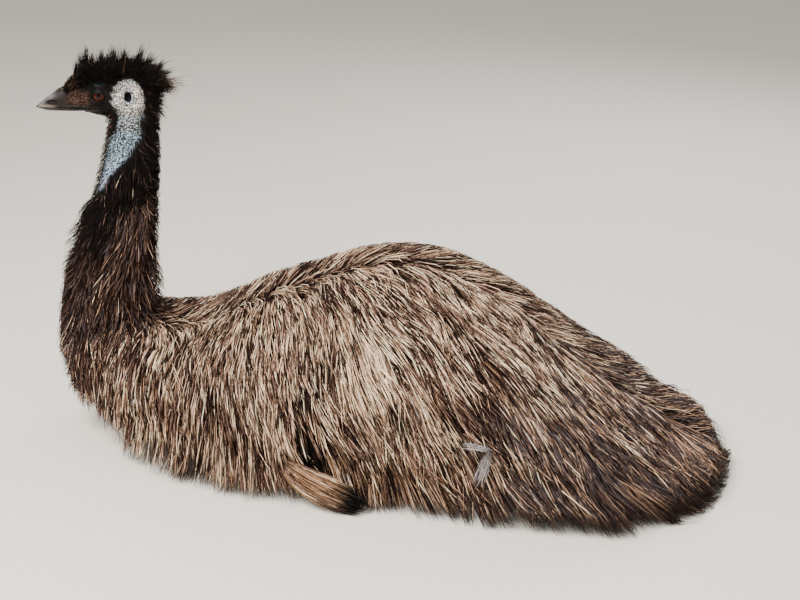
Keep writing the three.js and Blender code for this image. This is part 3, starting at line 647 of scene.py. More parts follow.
for name, is_upper in (("bill_upper_horn", True), ("bill_lower_horn", False)):
    half = half_bill(name, is_upper)
    if is_upper:
        for side in (-1, 1):
            slot_centre = (NOSTRIL[0], side * (NOSTRIL[1] + 0.6), NOSTRIL[2])
            combine(half, sphere("nostril", slot_centre, NOSTRIL_RADII), "DIFFERENCE")
    half.data.shade_smooth()
    bpy.context.view_layer.objects.active = half
    half.select_set(True)
    bpy.ops.object.shade_smooth_by_angle(angle=math.radians(40))
    paint(half.data, horn_colour(head_local(in_bird(half.data))))
    half.data.materials.append(horn)
    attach(half, "root")
    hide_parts("bill_upper" if is_upper else "bill_lower")


# The ear rims
# Low oval folds of bare white skin round the ears' openings, about 20 mm wide, 30 mm high and 4 mm
# thick. Each is a ring of skin that lies flat on its side of the head.
EAR_RIM_RADII = (7.8, 11.6, 6.8)
EAR_RIM_ROUND = 0.3  # the ring's thickness as a share of its radii


def ear_rim(name, side):
    bpy.ops.object.select_all(action="DESELECT")
    bpy.ops.mesh.primitive_torus_add(
        major_segments=36, minor_segments=14, major_radius=1, minor_radius=EAR_RIM_ROUND
    )
    made = bpy.context.active_object
    made.name = made.data.name = name
    wide, tall, proud = (coordinates(made.data) * EAR_RIM_RADII).T
    points = np.stack((wide + EAR_PLACE[0], side * (EAR_PLACE[1] + proud), tall + EAR_PLACE[2]), -1)
    made.data.vertices.foreach_set("co", in_frame(head_placed(points)).ravel())
    turn_faces_out()
    made.data.shade_smooth()
    return made


for side, name in ((-1, "left"), (1, "right")):
    rim = ear_rim("ear_rim_" + name, side)
    paint(rim.data, np.tile(linear("c3c5cc"), (len(rim.data.vertices), 1)))
    rim.data.materials.append(bird_skin)
    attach(rim, "root")
    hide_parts("ear_" + name)


# The legs
# Folded flat under the belly: stout grey-brown shanks and three-toed feet in leathery scales, with
# blunt black claws. Each is rounded from its solid, so it stays in the same place.
SHANK_VOXEL, FOOT_VOXEL, CLAW_VOXEL = 0.0035, 0.0024, 0.0009

# Dry, horny scales with dust between them: dull, in soft plates of 5 mm with sunk edges.
PLATES_A_METRE = 210.0
DUST_A_METRE = 60.0  # patches of 17 mm
DUSTY_GREY_BROWN = ((0.3, "3a342d"), (0.75, "75695a"))
scales = new_material("leg_scales")
place = node(scales, "ShaderNodeTexCoord")
on_leg = {"Vector": (place, "Object")}
plates = node(scales, "ShaderNodeTexVoronoi", on_leg, Scale=PLATES_A_METRE)
dust = node(scales, "ShaderNodeTexNoise", on_leg, Scale=DUST_A_METRE, Detail=5.0)
shades = node(scales, "ShaderNodeValToRGB", {"Fac": (dust, "Fac")}, stops=DUSTY_GREY_BROWN)
from_edges = {"Height": (plates, "Distance")}
bump = node(scales, "ShaderNodeBump", from_edges, Strength=0.6, Distance=0.001, invert=True)
surface_of = {"Base Color": (shades, 0), "Normal": (bump, 0)}
shader = node(scales, "ShaderNodeBsdfPrincipled", surface_of, Roughness=0.7)
node(scales, "ShaderNodeOutputMaterial", {"Surface": (shader, 0)})

# Claw horn, worn smooth on the ground: black-brown and a little shiny, in layers of 6 mm.
CLAW_LAYERS_A_METRE = 180.0
BLACK_BROWN = ((0.3, "121110"), (0.8, "3a3531"))
claw_horn = new_material("claw_horn")
place = node(claw_horn, "ShaderNodeTexCoord")
on_claw = {"Vector": (place, "Object")}
layers = node(claw_horn, "ShaderNodeTexNoise", on_claw, Scale=CLAW_LAYERS_A_METRE, Detail=4.0)
shades = node(claw_horn, "ShaderNodeValToRGB", {"Fac": (layers, "Fac")}, stops=BLACK_BROWN)
shader = node(claw_horn, "ShaderNodeBsdfPrincipled", {"Base Color": (shades, 0)}, Roughness=0.36)
node(claw_horn, "ShaderNodeOutputMaterial", {"Surface": (shader, 0)})


def rounded_copy(name, node_name, voxel):
    """A smooth piece in the place of a node: its merged copy, remeshed and relaxed."""
    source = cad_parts[node_name]
    made = bpy.data.objects.new(name, source.data.copy())
    made.data.name = name
    made.data.materials.clear()
    bpy.context.scene.collection.objects.link(made)
    apply(made, "WELD", merge_threshold=1e-5)
    apply(made, "REMESH", mode="VOXEL", voxel_size=voxel, use_smooth_shade=True)
    apply(made, "SMOOTH", factor=0.5, iterations=4)
    return made


for name in ("left", "right"):
    for part, voxel in (("shank", SHANK_VOXEL), ("foot", FOOT_VOXEL)):
        made = rounded_copy(f"{part}_scales_{name}", f"{part}_{name}", voxel)
        made.data.materials.append(scales)
        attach(made, "root")
        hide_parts(f"{part}_{name}")
    for toe in (1, 2, 3):
        made = rounded_copy(f"claw_tip_{name}_{toe}", f"claw_{name}_{toe}", CLAW_VOXEL)
        made.data.materials.append(claw_horn)
        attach(made, "root")
        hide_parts(f"claw_{name}_{toe}")


# The body's coat
# Long, loose feathers that hang like coarse hair, dark grey-brown or straw-pale with black tips.
# They grow in tufts, fall from a parting along the spine, lie down and back over each other and
# end ragged on the ground. Each strand is a thin closed blade, broader than a barb so that it shows.
FLANK_SWEEP = (-16, -12, -4, 3, 13, 26, 36, 42, 46, 50, 54)
PARTING_SWEEP = 72
PARTING_SPREAD = 40
LAST_FULL_SHARE = 0.86
COAT_END, COAT_END_LOW = 482, 478  # at the tail's middle and on the ground
BODY_SKIRT = (4, 96, 190, 400, 400, 400, 400, 400, 400, 300, 200)  # how far it goes on downwards
SWELL_X = (-420, -330, -250, -150, -60, 0, 60, 110, 200, 300)  # where the coat is deeper on the back
BACK_SWELL = (0, 10, 14, 8, 4, 7, 14, 12, 3, 0)
FLARE_X = (-330, -240, -100, 0, 130, 180, 240, 320, 380, 450)  # where it spreads out on the ground
SKIRT_FLARE = (0, 12, 6, 0, 18, 44, 56, 46, 26, 6)
random = np.random.default_rng(4127)


def unit(v):
    return v / np.maximum(np.linalg.norm(v, axis=-1, keepdims=True), 1e-9)


def lie_along(v, normal):
    return unit(v - np.sum(v * normal, -1, keepdims=True) * normal)


def body_radius(p):
    """1 on the surface that the body's coat lies along, less inside it and more outside."""
    t = np.minimum(length_share(p[:, 0]), LAST_FULL_SHARE)
    widest = station(BODY_WIDEST, t)
    height = p[:, 2] - widest
    rise = (station(BODY_RIDGE, t) - widest) * CORE_TOP + np.interp(p[:, 0], SWELL_X, BACK_SWELL)
    reach = np.maximum(np.where(height > 0, rise, station(BODY_SKIRT, t)), 4)
    flare = np.interp(p[:, 0], FLARE_X, SKIRT_FLARE) * ease((80 - p[:, 2]) / 80)
    across = np.abs(p[:, 1]) / np.maximum(station(BODY_HALF_WIDTH, t) * CORE_SIDE + flare, 4)
    end = np.interp(p[:, 2], (0, 50, 110), (COAT_END_LOW, COAT_END, COAT_END - 12))
    end = end - 0.0008 * p[:, 1] ** 2  # rounded from above
    beyond = np.maximum(np.maximum(BREAST_X - p[:, 0], p[:, 0] - end), 0) / 30
    k = BODY_ROUNDNESS
    return (across**k + (np.abs(height) / reach) ** k) ** (1 / k) + beyond


def neck_radius(p):
    """1 on the neck's surface, and more below the neck's low end."""
    x, half_depth, half_width = neck_section(p[:, 2])
    below = np.maximum(0, NECK_LOW - p[:, 2]) / 60
    return np.hypot((p[:, 0] - x) / half_depth, p[:, 1] / half_width) + below


NECK_BLEND = 35  # over this distance the neck's surface runs into the body's


def surface(p):
    """Distance of points from the surface that the coat lies along, and its outward direction."""
    found = []
    for field in (body_radius, neck_radius):
        gradient = np.stack([(field(p + step) - field(p - step)) / 2 for step in np.eye(3)], -1)
        size = np.maximum(np.linalg.norm(gradient, axis=1), 1 / 400)
        found.append(((field(p) - 1) / size, gradient / size[:, None]))
    (body, body_out), (neck, neck_out) = found
    h = np.clip(0.5 + (body - neck) / (2 * NECK_BLEND), 0, 1)
    out = mix(body_out, neck_out, h[:, None])
    return mix(body, neck, h) - NECK_BLEND * h * (1 - h), unit(out)


def coat_flow(p, normal):
    """Down the neck, and from the parting out, down and back over the body."""
    side = np.where(p[:, 1] < 0, -1.0, 1.0)
    flank = station(FLANK_SWEEP, length_share(p[:, 0]))
    ridge = np.exp(-np.abs(p[:, 1]) / PARTING_SPREAD) * ease((p[:, 2] - 60) / 60)
    sweep = np.radians(mix(flank, PARTING_SWEEP, ridge))[:, None]
    one, none = np.ones(len(p)), np.zeros(len(p))
    round_body = np.stack((none, side * normal[:, 2], -np.abs(normal[:, 1]) - 0.12), -1)
    down = lie_along(round_body, normal)
    back = lie_along(np.stack((one, none, none), -1), normal)
    on_neck = lie_along(np.stack((-0.22 * one, 0.1 * side, -one), -1), normal)
    share = ease((p[:, 2] - 190) / 80) * ease((-400 - p[:, 0]) / 40)
    flow = mix(down * np.cos(sweep) + back * np.sin(sweep), on_neck, share[:, None])
    return lie_along(flow, normal)


def waves(p, wavelength, seed):
    """A smooth random field, about -1 to 1, that changes over the wavelength."""
    draws = np.random.default_rng(seed)
    ways = unit(draws.normal(size=(6, 3))) * (2 * np.pi / wavelength)
    shifts = draws.uniform(0, 2 * np.pi, 6)
    return np.sin(p @ (ways * draws.uniform(0.7, 1.5, (6, 1))).T + shifts).sum(1) / 2.4


OVER_GROUND = 3.0


def grow(root, length, rise, swirl, sink=3.0, steps=10):
    """Paths of strands that leave the surface at their roots, rise and then lie along the flow."""
    paths = np.empty((steps + 1, len(root), 3))
    outs = np.empty_like(paths)
    start, normal = surface(root)
    paths[0], outs[0] = root - normal * sink, normal
    p = root.copy()
    step = length / steps
    for k in range(1, steps + 1):
        _, normal = surface(p)
        flow = coat_flow(p, normal)
        aside = np.cross(normal, flow)
        way = flow * np.cos(swirl)[:, None] + aside * np.sin(swirl)[:, None]
        p = p + way * step[:, None]
        distance, normal = surface(p)
        risen = np.sin(np.pi / 2 * min(1, 1.1 * k / steps))
        lift = np.clip(mix(start, rise, risen) - distance, -step, step)
        p = p + normal * lift[:, None]
        under = np.maximum(OVER_GROUND - p[:, 2], 0)  # tips that reach the ground spread out on it
        p = p + np.stack((normal[:, 0] * under, normal[:, 1] * under, under), -1)
        paths[k], outs[k] = p, normal
    return paths, outs


# The share of a strand's length at each ring of its blade, before the tip: three rings make 16
# triangles for the long feathers, and four make 22 for the curled bristles.
BODY_RINGS = np.array((0, 0.4, 0.76))
BRISTLE_RINGS = np.array((0, 0.3, 0.58, 0.82))
BLADE_SHARES, BLADE_WIDTHS = (0, 0.3, 0.6, 1), (0.5, 1.0, 0.95, 0.3)
BLADE_BASE = 0.28  # how much of a blade's thickness lies under its middle line
LOWEST_POINT = 0.6


def at_share(paths, share):
    """The points that lie at one share of each path's length."""
    place = share * (len(paths) - 1)
    i = min(int(place), len(paths) - 2)
    return mix(paths[i], paths[i + 1], place - i)


def blades(paths, outs, width, thickness, roll, rings):
    """The points of each blade: three round each ring and one at the tip."""
    points = np.empty((len(width), 3 * len(rings) + 1, 3))
    for k, share in enumerate(rings):
        wide = np.interp(share, BLADE_SHARES, BLADE_WIDTHS)
        here = at_share(paths, share)
        along = unit(at_share(paths, min(share + 0.1, 1)) - at_share(paths, max(share - 0.1, 0)))
        out = lie_along(at_share(outs, share), along)
        across = np.cross(along, out)
        across, out = (
            across * np.cos(roll)[:, None] + out * np.sin(roll)[:, None],
            out * np.cos(roll)[:, None] - across * np.sin(roll)[:, None],
        )
        half = (width * wide / 2)[:, None]
        thick = np.broadcast_to(thickness * math.sqrt(wide), len(width))[:, None]
        points[:, 3 * k] = here - across * half - out * thick * BLADE_BASE
        points[:, 3 * k + 1] = here + across * half - out * thick * BLADE_BASE
        points[:, 3 * k + 2] = here + out * thick * (1 - BLADE_BASE)
    points[:, -1] = paths[-1]
    points[:, :, 2] = np.maximum(points[:, :, 2], LOWEST_POINT)
    return points


def blade_faces(rings):
    """Corner numbers of one closed blade: quads up its sides, triangles at its tip and root."""
    quads, triangles = [], []
    last = 3 * (rings - 1)
    for a, b in ((0, 2), (2, 1), (1, 0)):
        quads += [(3 * k + a, 3 * k + b, 3 * k + 3 + b, 3 * k + 3 + a) for k in range(rings - 1)]
        triangles.append((last + a, last + b, last + 3))
    return np.array(quads), np.array(triangles + [(0, 1, 2)])


PATCH = 0.003  # the side of a strand's square on the coat's unwrap


def coat_piece(name, points, colours, unwrap, rings):
    """One mesh of blades, with a colour for each point and the OFBake map."""
    count, a_blade = points.shape[:2]
    mesh = bpy.data.meshes.new(name)
    quads, triangles = blade_faces(len(rings))
    corners = np.concatenate((quads.ravel(), triangles.ravel()))
    sizes = np.array([4] * len(quads) + [3] * len(triangles))
    starts = np.concatenate(([0], np.cumsum(sizes)[:-1]))
    first = np.arange(count)[:, None]
    mesh.vertices.add(count * a_blade)
    mesh.vertices.foreach_set("co", in_frame(points).ravel())
    mesh.loops.add(count * len(corners))
    mesh.loops.foreach_set("vertex_index", (corners[None] + a_blade * first).ravel())
    mesh.polygons.add(count * len(sizes))
    mesh.polygons.foreach_set("loop_start", (starts[None] + len(corners) * first).ravel())
    mesh.update(calc_edges=True)
    mesh.validate()
    mesh.shade_smooth()
    paint(mesh, colours.reshape(-1, 3))
    along = np.append(np.repeat(rings, 3), 1.0)[corners] - 0.5
    around = np.append(np.tile((0, 0.5, 1), len(rings)), 0.5)[corners] - 0.5
    patch = np.stack((along, around), -1) * PATCH
    layer = mesh.uv_layers.new(name="OFBake")
    layer.data.foreach_set("uv", (unwrap[:, None] + patch[None]).ravel())
    made = bpy.data.objects.new(name, mesh)
    bpy.context.scene.collection.objects.link(made)
    made.data.materials.append(plume)
    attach(made, "root")
    return made


def body_unwrap(p):
    """Length along the body and the angle round it, in the lower part of the map."""
    t = length_share(p[:, 0])
    angle = np.arctan2(p[:, 1], p[:, 2] - station(BODY_WIDEST, t))
    return np.stack((0.02 + 0.96 * t, 0.30 + 0.27 * angle / np.pi), -1)


def neck_unwrap(p):
    """Height up the neck and the angle round it, in the upper left of the map."""
    x, _, _ = neck_section(p[:, 2])
    angle = np.arctan2(p[:, 1], p[:, 0] - x)
    return np.stack((0.02 + 0.44 * (p[:, 2] - 80) / 480, 0.80 + 0.17 * angle / np.pi), -1)


# Feather barbs: keratin with a dry, silky look, so the highlights are broad and weak. Each strand's
# own colour comes from its points, and a mottle of 4 mm goes over them.
MOTTLES_A_METRE = 260.0
plume = new_material("feather_barbs")
tint = node(plume, "ShaderNodeAttribute", attribute_name="Tint")
place = node(plume, "ShaderNodeTexCoord")
on_coat = {"Vector": (place, "Object")}
mottle = node(plume, "ShaderNodeTexNoise", on_coat, Scale=MOTTLES_A_METRE, Detail=2.0)
depth = node(
    plume,
    "ShaderNodeMapRange",
    {"Value": (mottle, "Fac")},
    From_Min=0.3,
    From_Max=0.7,
    To_Min=0.7,
    To_Max=1.25,
)
by_depth = {0: (tint, "Color"), "Scale": (depth, 0)}
shaded = node(plume, "ShaderNodeVectorMath", by_depth, operation="SCALE")
surface_of = {"Base Color": (shaded, 0)}
shader = node(plume, "ShaderNodeBsdfPrincipled", surface_of, Roughness=0.66, Specular_IOR_Level=0.08)
node(plume, "ShaderNodeOutputMaterial", {"Surface": (shader, 0)})

SHADE_CODES = ("ffdcbb", "cba387", "715649", "281914", "a8805c", "0f0c0b", "5c5051", "aaa5a6")
STRAW, TAN, UMBER, SOOT, GINGER, BLACK, ASH, PEARL = range(len(SHADE_CODES))
SHADES = np.array([linear(code) for code in SHADE_CODES])
GAP_X, GAP_Z, GAP_LEAN = -146, 117, 0.3  # the hollow low on the flank, painted black as its shade, leans with the feathers
GAP_HALF_WIDTH, GAP_SIDE_Y = 30, 90
GAP_FEET, GAP_SHADE_TOP, GAP_TOP = 40, 152, 236  # heights: painted black shade below, feathers cut short above
PALE_PATCH, PALE_RADII = (-62, 195, 256), (36, 80, 46)
FURROW_SHADE, FURROW_SHADE_RADII = (98, 205, 205), (26, 70, 78)  # painted shade in front of the rump, as in a dip


def in_gap(root, low, high):
    """1 for roots in the hollow's leaning band between two heights, 0 well outside it."""
    aside = root[:, 0] - GAP_X + GAP_LEAN * (root[:, 2] - GAP_Z)
    tall = ease((root[:, 2] - low) / 12) * ease((high - root[:, 2]) / 12)
    return ease((GAP_HALF_WIDTH - np.abs(aside)) / 14) * tall * (np.abs(root[:, 1]) > GAP_SIDE_Y)


def drawn_shades(*weights):
    """Draws one shade for each strand, in the order of SHADES, by its weights."""
    weights = np.clip(np.stack(np.broadcast_arrays(*weights), -1), 0.002, None)
    edges = np.cumsum(weights / weights.sum(1, keepdims=True), 1)
    return (random.random(len(weights))[:, None] > edges).sum(1).clip(0, len(SHADES) - 1)


def plumage(root, tuft_tone):
    """Draws the shade of each strand from what its part of the bird shows."""
    mirrored = np.column_stack((root[:, 0], np.abs(root[:, 1]), root[:, 2]))
    # painted shade: black strands fill the hollow low on the flank
    gap = in_gap(root, GAP_FEET, GAP_SHADE_TOP)
    pale = spot(mirrored, PALE_PATCH, PALE_RADII)
    low = ease((150 - root[:, 2]) / 90) * ease((root[:, 0] + 190) / 120)
    rear = ease((root[:, 0] - 60) / 170) * ease((330 - root[:, 2] - 0.4 * root[:, 0]) / 120)
    # painted shade in front of the rump: fewer pale strands and more dark ones
    furrow_shade = spot(mirrored, FURROW_SHADE, FURROW_SHADE_RADII, 0.6)
    light = 0.62 * np.exp(1.15 * tuft_tone + 0.5 * waves(root, 70, 11))
    light *= mix(0.2, 1.0, ease((root[:, 0] + 520) / 190)) * (1 - gap) * (1 - 0.6 * furrow_shade)
    light *= np.exp(rear * waves(root * (0.45, 1, 1), 55, 15))
    straw = (0.38 + 1.7 * pale) * light * (1 - 0.55 * low) * (1 - 0.55 * rear)
    tan = (0.2 + 0.3 * low + 0.4 * pale + 0.12 * rear) * light
    umber = 0.28 - 0.2 * pale - 0.1 * rear
    soot = 0.38 - 0.25 * pale + 0.12 * waves(root, 45, 13) + 0.15 * low + 0.3 * furrow_shade
    ginger = (0.01 + 0.2 * low * (1 - rear)) * (1 - gap)
    black = 0.06 + 3.0 * gap + 0.32 * rear
    ash = rear
    return drawn_shades(straw, tan, umber, soot, ginger, black, ash, 0.0)


def strand_colours(shade, root_dark, tip_dark, rings, middle_dark=0.3, spread=0.16):
    """Colours down each strand: dark at the root, full past the middle, dark again at the tip."""
    base = SHADES[shade] * (1 + spread * random.normal(size=(len(shade), 1)))
    shares = np.append(np.repeat(rings, 3), 1.0)
    amount = np.interp(shares, (0, 0.4, 0.64, 0.8, 1), (root_dark, middle_dark, 0, 0, tip_dark))
    dark = (SHADES[BLACK] + SHADES[SOOT]) / 2
    return mix(np.clip(base, 0.003, 1)[:, None], dark, amount[None, :, None])


def tufted(root, tufts, length, rise, clump, swirl_spread=0.2):
    """Strands of tufts: each grows from its own root and is drawn towards its tuft's middle line."""
    middle = root.reshape(tufts, -1, 3).mean(1)
    each = len(root) // tufts
    swirl = 0.13 * waves(middle, 150, 21) + 0.13 * waves(middle, 60, 22)
    swirl = swirl + random.normal(0, swirl_spread, tufts) * 0.6
    own = np.repeat(swirl, each) + random.normal(0, swirl_spread * 0.4, len(root))
    paths, outs = grow(root, length, rise, own)
    guide, _ = grow(middle, length.reshape(tufts, -1).mean(1), rise.reshape(tufts, -1).mean(1), swirl)
    guide = np.repeat(guide, each, 1)
    for k in range(len(paths)):
        share = clump * (k / (len(paths) - 1)) ** 1.3
        height = np.sum((paths[k] - guide[k]) * outs[k], 1, keepdims=True) * outs[k]
        paths[k] -= (paths[k] - guide[k] - height) * share
    return paths, outs


def scatter(pick, tries, spacing):
    """Random roots kept apart, by dropping the later of any two in one cell of a grid."""
    drawn = pick(tries)
    cells = np.floor(drawn / spacing).astype(int)
    _, first = np.unique(cells, axis=0, return_index=True)
    return drawn[np.sort(first)]


def tuft_roots(middles, strands, spread, along):
    """The roots of each tuft's strands, scattered round its middle in the plane of the skin."""
    _, normal = surface(middles)
    first_axis = lie_along(np.array(along), normal)
    second_axis = np.cross(normal, first_axis)
    offsets = random.normal(0, spread, (len(middles), strands, 2))
    root = middles[:, None] + first_axis[:, None] * offsets[..., :1]
    return (root + second_axis[:, None] * offsets[..., 1:]).reshape(-1, 3)


def body_roots(count):
    """Random places all over the body, down to the ground and not under the neck's coat."""
    t = random.uniform(0.012, 0.985, count)
    angle = random.uniform(-0.6, 0.6, count) * np.pi
    p = body_point(t, angle)
    keep = (p[:, 2] > 26) & (neck_radius(p) > 0.96)
    return p[keep]


TUFT_SPACING, TUFT_SPREAD, STRANDS_A_TUFT = 10.1, 3.8, 8
STRAND_LENGTH, BREAST_LENGTH = 90.0, 72.0
STRAND_RISE, BREAST_RISE, RIDGE_RISE = 27.0, 13.0, 14.0  # how high strands lie over the surface
STRAND_THICKNESS = 0.8
STRAND_CLUMP = 0.55  # how far a tuft's strands are drawn together at their tips
FULL_HALF_WIDTH, DRAWN_IN = 240, 15  # past this width the coat's ends are drawn in

middles = scatter(body_roots, 90000, TUFT_SPACING)
tufts = len(middles)
root = tuft_roots(middles, STRANDS_A_TUFT, TUFT_SPREAD, (1.0, 0.2, 0.1))
tone = np.repeat(random.normal(0, 1, tufts) + 0.5 * waves(middles, 38, 14), STRANDS_A_TUFT)
share = length_share(root[:, 0])
widest = station(BODY_WIDEST, share)
ridge_height = np.maximum((station(BODY_RIDGE, share) - widest) * CORE_TOP, 1)
top = np.clip((root[:, 2] - widest) / ridge_height, 0, 1) ** 3
breast = np.clip((-330 - root[:, 0]) / 150, 0, 1)
length = mix(STRAND_LENGTH, BREAST_LENGTH, breast) * random.uniform(0.6, 1.2, len(root))
length *= 1 - 0.45 * in_gap(root, GAP_SHADE_TOP, GAP_TOP)
slant = np.cos(np.radians(station(FLANK_SWEEP, share)))
to_ground = root[:, 2] / slant + random.uniform(-10, 16, len(root))
low = (root[:, 2] < 112) & (root[:, 0] < 400)
length = np.where(low, np.maximum(length, to_ground), length)
layer_height = random.uniform(0.15, 1.0, len(root))
front_low = ease((-450 - root[:, 0]) / 60) * ease((190 - root[:, 2]) / 50)
on_flank = mix(STRAND_RISE, BREAST_RISE, breast) - 10 * front_low
rise = mix(on_flank, RIDGE_RISE, top) * layer_height
rise *= 1 - 0.75 * in_gap(root, GAP_FEET, GAP_SHADE_TOP)
paths, outs = tufted(root, tufts, length, rise, STRAND_CLUMP)
shade = plumage(root, tone)
width = random.uniform(0.9, 2.0, len(root)) * np.where(shade == STRAW, 1.3, 1.0)
roll = random.normal(0, 0.5, len(root))
points = blades(paths, outs, width, STRAND_THICKNESS, roll, BODY_RINGS)
overhang = np.maximum(np.abs(points[..., 1]) - FULL_HALF_WIDTH, 0)
drawn_in = overhang - DRAWN_IN * np.tanh(overhang / DRAWN_IN)
points[..., 1] -= np.sign(points[..., 1]) * drawn_in
colours = strand_colours(shade, 0.95, 0.85, BODY_RINGS)
# painted shade: strands darken towards the ground, below a height that rises towards the rear
shaded_height = np.interp(points[..., 0], (-300, 0, 160, 300), (34, 42, 66, 72))
near_ground = ease((shaded_height - points[..., 2]) / 50)[..., None]
colours = mix(colours, (SHADES[SOOT] + SHADES[BLACK]) / 2, 0.85 * near_ground)
unwrap = body_unwrap(root)

PIECE_LIMIT = 11000  # strands in one piece, which keeps it under 200,000 triangles


def coat_pieces(name, chosen, points, colours, unwrap):
    """The chosen strands as one piece, or as more than one where they pass the limit."""
    for part, begin in enumerate(range(0, len(chosen), PIECE_LIMIT)):
        these = chosen[begin : begin + PIECE_LIMIT]
        part_name = f"{name}_{part + 1}"
        coat_piece(part_name, points[these], colours[these], unwrap[these], BODY_RINGS)


left = root[:, 1] < 0
zones = [
    ("breast", root[:, 0] < -360),
    ("shoulder", (root[:, 0] >= -360) & (root[:, 0] < -180)),
    ("saddle", (root[:, 0] >= -180) & (root[:, 0] < 40)),
    ("loin", (root[:, 0] >= 40) & (root[:, 0] < 250)),
    ("rump", root[:, 0] >= 250),
]
for zone, inside in zones:
    for side_name, on_side in (("left", left), ("right", ~left)):
        chosen = np.flatnonzero(inside & on_side)
        coat_pieces(f"coat_{zone}_{side_name}", chosen, points, colours, unwrap)


# The folded tufts and the loose feather
# Low on each flank, under a dark hollow, a thick tuft of stiffer golden-brown feathers with black
# ends lies out over the skirt. A small pearl-grey down feather, 70 mm long, has caught in the left
# flank's coat. Both are loose bundles of the same blades.
BUNDLE_STEPS = 11
BUNDLE_THICKNESS = 0.6


def bundle(name, line, half_width, shade, dark_from, width, begins, loose):
    """Strands along a curve through points on a flank. They begin between two shares of it, are
    black past another, and their tips scatter by loose."""
    line = np.array(line, float)
    count = len(shade)
    begin = random.uniform(*begins, count)
    reach = random.uniform(0.5, 0.62, count)
    sideways, outward = random.uniform(-1, 1, count), random.uniform(0, 1, count)
    paths, outs, shares = [], [], []
    for step in np.linspace(0, 1, BUNDLE_STEPS):
        share = np.clip(begin + reach * step, 0, 1)
        here, ahead, behind = (
            np.stack([station(line[:, axis], np.clip(share + d, 0, 1)) for axis in range(3)], -1)
            for d in (0, 0.03, -0.03)
        )
        along = unit(ahead - behind)
        out = lie_along(np.array((0.0, np.sign(line[0, 1]), 0.15)), along)
        across = np.cross(along, out)
        spread = half_width * np.sin(np.pi * (0.16 + 0.74 * share)) ** 0.8
        lift = spread * 0.5 * outward * (1 - sideways**2)
        paths.append(here + across * (sideways * spread)[:, None] + out * lift[:, None])
        outs.append(out)
        shares.append(share)
    paths, outs, shares = np.array(paths), np.array(outs), np.array(shares)
    paths += random.normal(0, loose, (1, count, 3)) * np.linspace(0, 1, BUNDLE_STEPS)[:, None, None]
    rings = BRISTLE_RINGS
    wide = random.uniform(*width, count)
    points = blades(paths, outs, wide, BUNDLE_THICKNESS, random.normal(0, 0.5, count), rings)
    colours = strand_colours(shade, 0.5, 0.5, rings)
    end = np.stack([at_share(shares, ring) for ring in np.append(np.repeat(rings, 3), 1.0)], 1)
    colours = mix(colours, SHADES[BLACK], ease((end - dark_from) / 0.16)[..., None])
    return coat_piece(name, points, colours, body_unwrap(paths[0]), rings)


FOLD_STRANDS = 620
FOLD_LINE = ((-170, 212, 66), (-142, 224, 50), (-105, 232, 36), (-68, 234, 22), (-34, 233, 12))
FOLD_SHADES, FOLD_SHARES = (STRAW, TAN, GINGER, UMBER, SOOT), (0.1, 0.26, 0.2, 0.2, 0.24)
FOLD_BLACK_FROM = 0.56
for side, name in ((-1, "left"), (1, "right")):
    line = np.array(FOLD_LINE) * (1, side, 1)
    shade = random.choice(FOLD_SHADES, FOLD_STRANDS, p=FOLD_SHARES)
    bundle("coat_fold_" + name, line, 21, shade, FOLD_BLACK_FROM, (0.8, 1.7), (0.0, 0.42), 5.0)

STRAY_STRANDS = 30
CURL_LINE = ((146, -231, 126), (132, -242, 134), (112, -242, 136), (94, -236, 128))
VANE_LINE = ((144, -231, 129), (137, -243, 112), (131, -243, 88), (127, -240, 62))
NEVER_BLACK = 2.0  # a share past the end of any strand
shade = np.full(STRAY_STRANDS, PEARL)
bundle("stray_feather_curl", CURL_LINE, 4, shade, NEVER_BLACK, (0.5, 1.0), (0.0, 0.35), 2.0)
bundle("stray_feather_vane", VANE_LINE, 7, shade, NEVER_BLACK, (0.5, 1.0), (0.0, 0.35), 5.0)


# The neck's coat
# Shorter, finer feathers that hang down the neck: black round the top like a collar and down the
# front, brown at the sides half way, greyer towards the breast. A black strip of the same short
# feathers runs up the nape to the crown. They are laid in tufts as on the body.
NECK_COAT_Z = (112, 545)
DEEPEST_ROOT = -9  # roots further under the body's coat are left out


def neck_roots(count):
    """Random places all round the neck, outside the bare skin."""
    z = random.uniform(*NECK_COAT_Z, count)
    p = neck_point(z, random.uniform(-np.pi, np.pi, count))
    distance, _ = surface(p)
    return p[(distance > DEEPEST_ROOT) & (bare_skin(p) < 0.45)]


BROWN_FROM_X = (-516, -512, -497, -470, -411, -395)  # front edge of the brown, at these heights
BROWN_FROM_Z = (150, 245, 325, 400, 446, 500)


def neck_plumage(root, tuft_tone):
    """Black under the bare skin and up the nape, brown down the sides, greyer at the breast."""
    behind = ease((root[:, 0] - np.interp(root[:, 2], BROWN_FROM_Z, BROWN_FROM_X)) / 16)
    side = np.clip(np.abs(root[:, 1]) / neck_section(root[:, 2])[2], 0, 1)
    brown = behind * ease((440 - root[:, 2]) / 20) * ease((side - 0.1) / 0.4)
    low = ease((270 - root[:, 2]) / 110)
    collar = ease((root[:, 2] - 300) / 90)
    black = (0.06 + 1.2 * collar) * (1 - brown) * (1 - 0.6 * low) + 0.08
    straw = (0.02 * brown + 0.1 * low) * np.clip(1 + tuft_tone, 0, 2)
    tan = (0.06 * brown + 0.14 * low) * np.clip(1 + 0.6 * tuft_tone, 0.1, 2)
    umber = 0.14 + 0.1 * brown + 0.1 * low
    faded = 1 - 0.75 * collar * (1 - brown)
    grey = (0.22 + 0.02 * brown) * faded
    return drawn_shades(straw, tan, umber * faded, 0.64 * faded, 0.0, black, grey, 0.0)


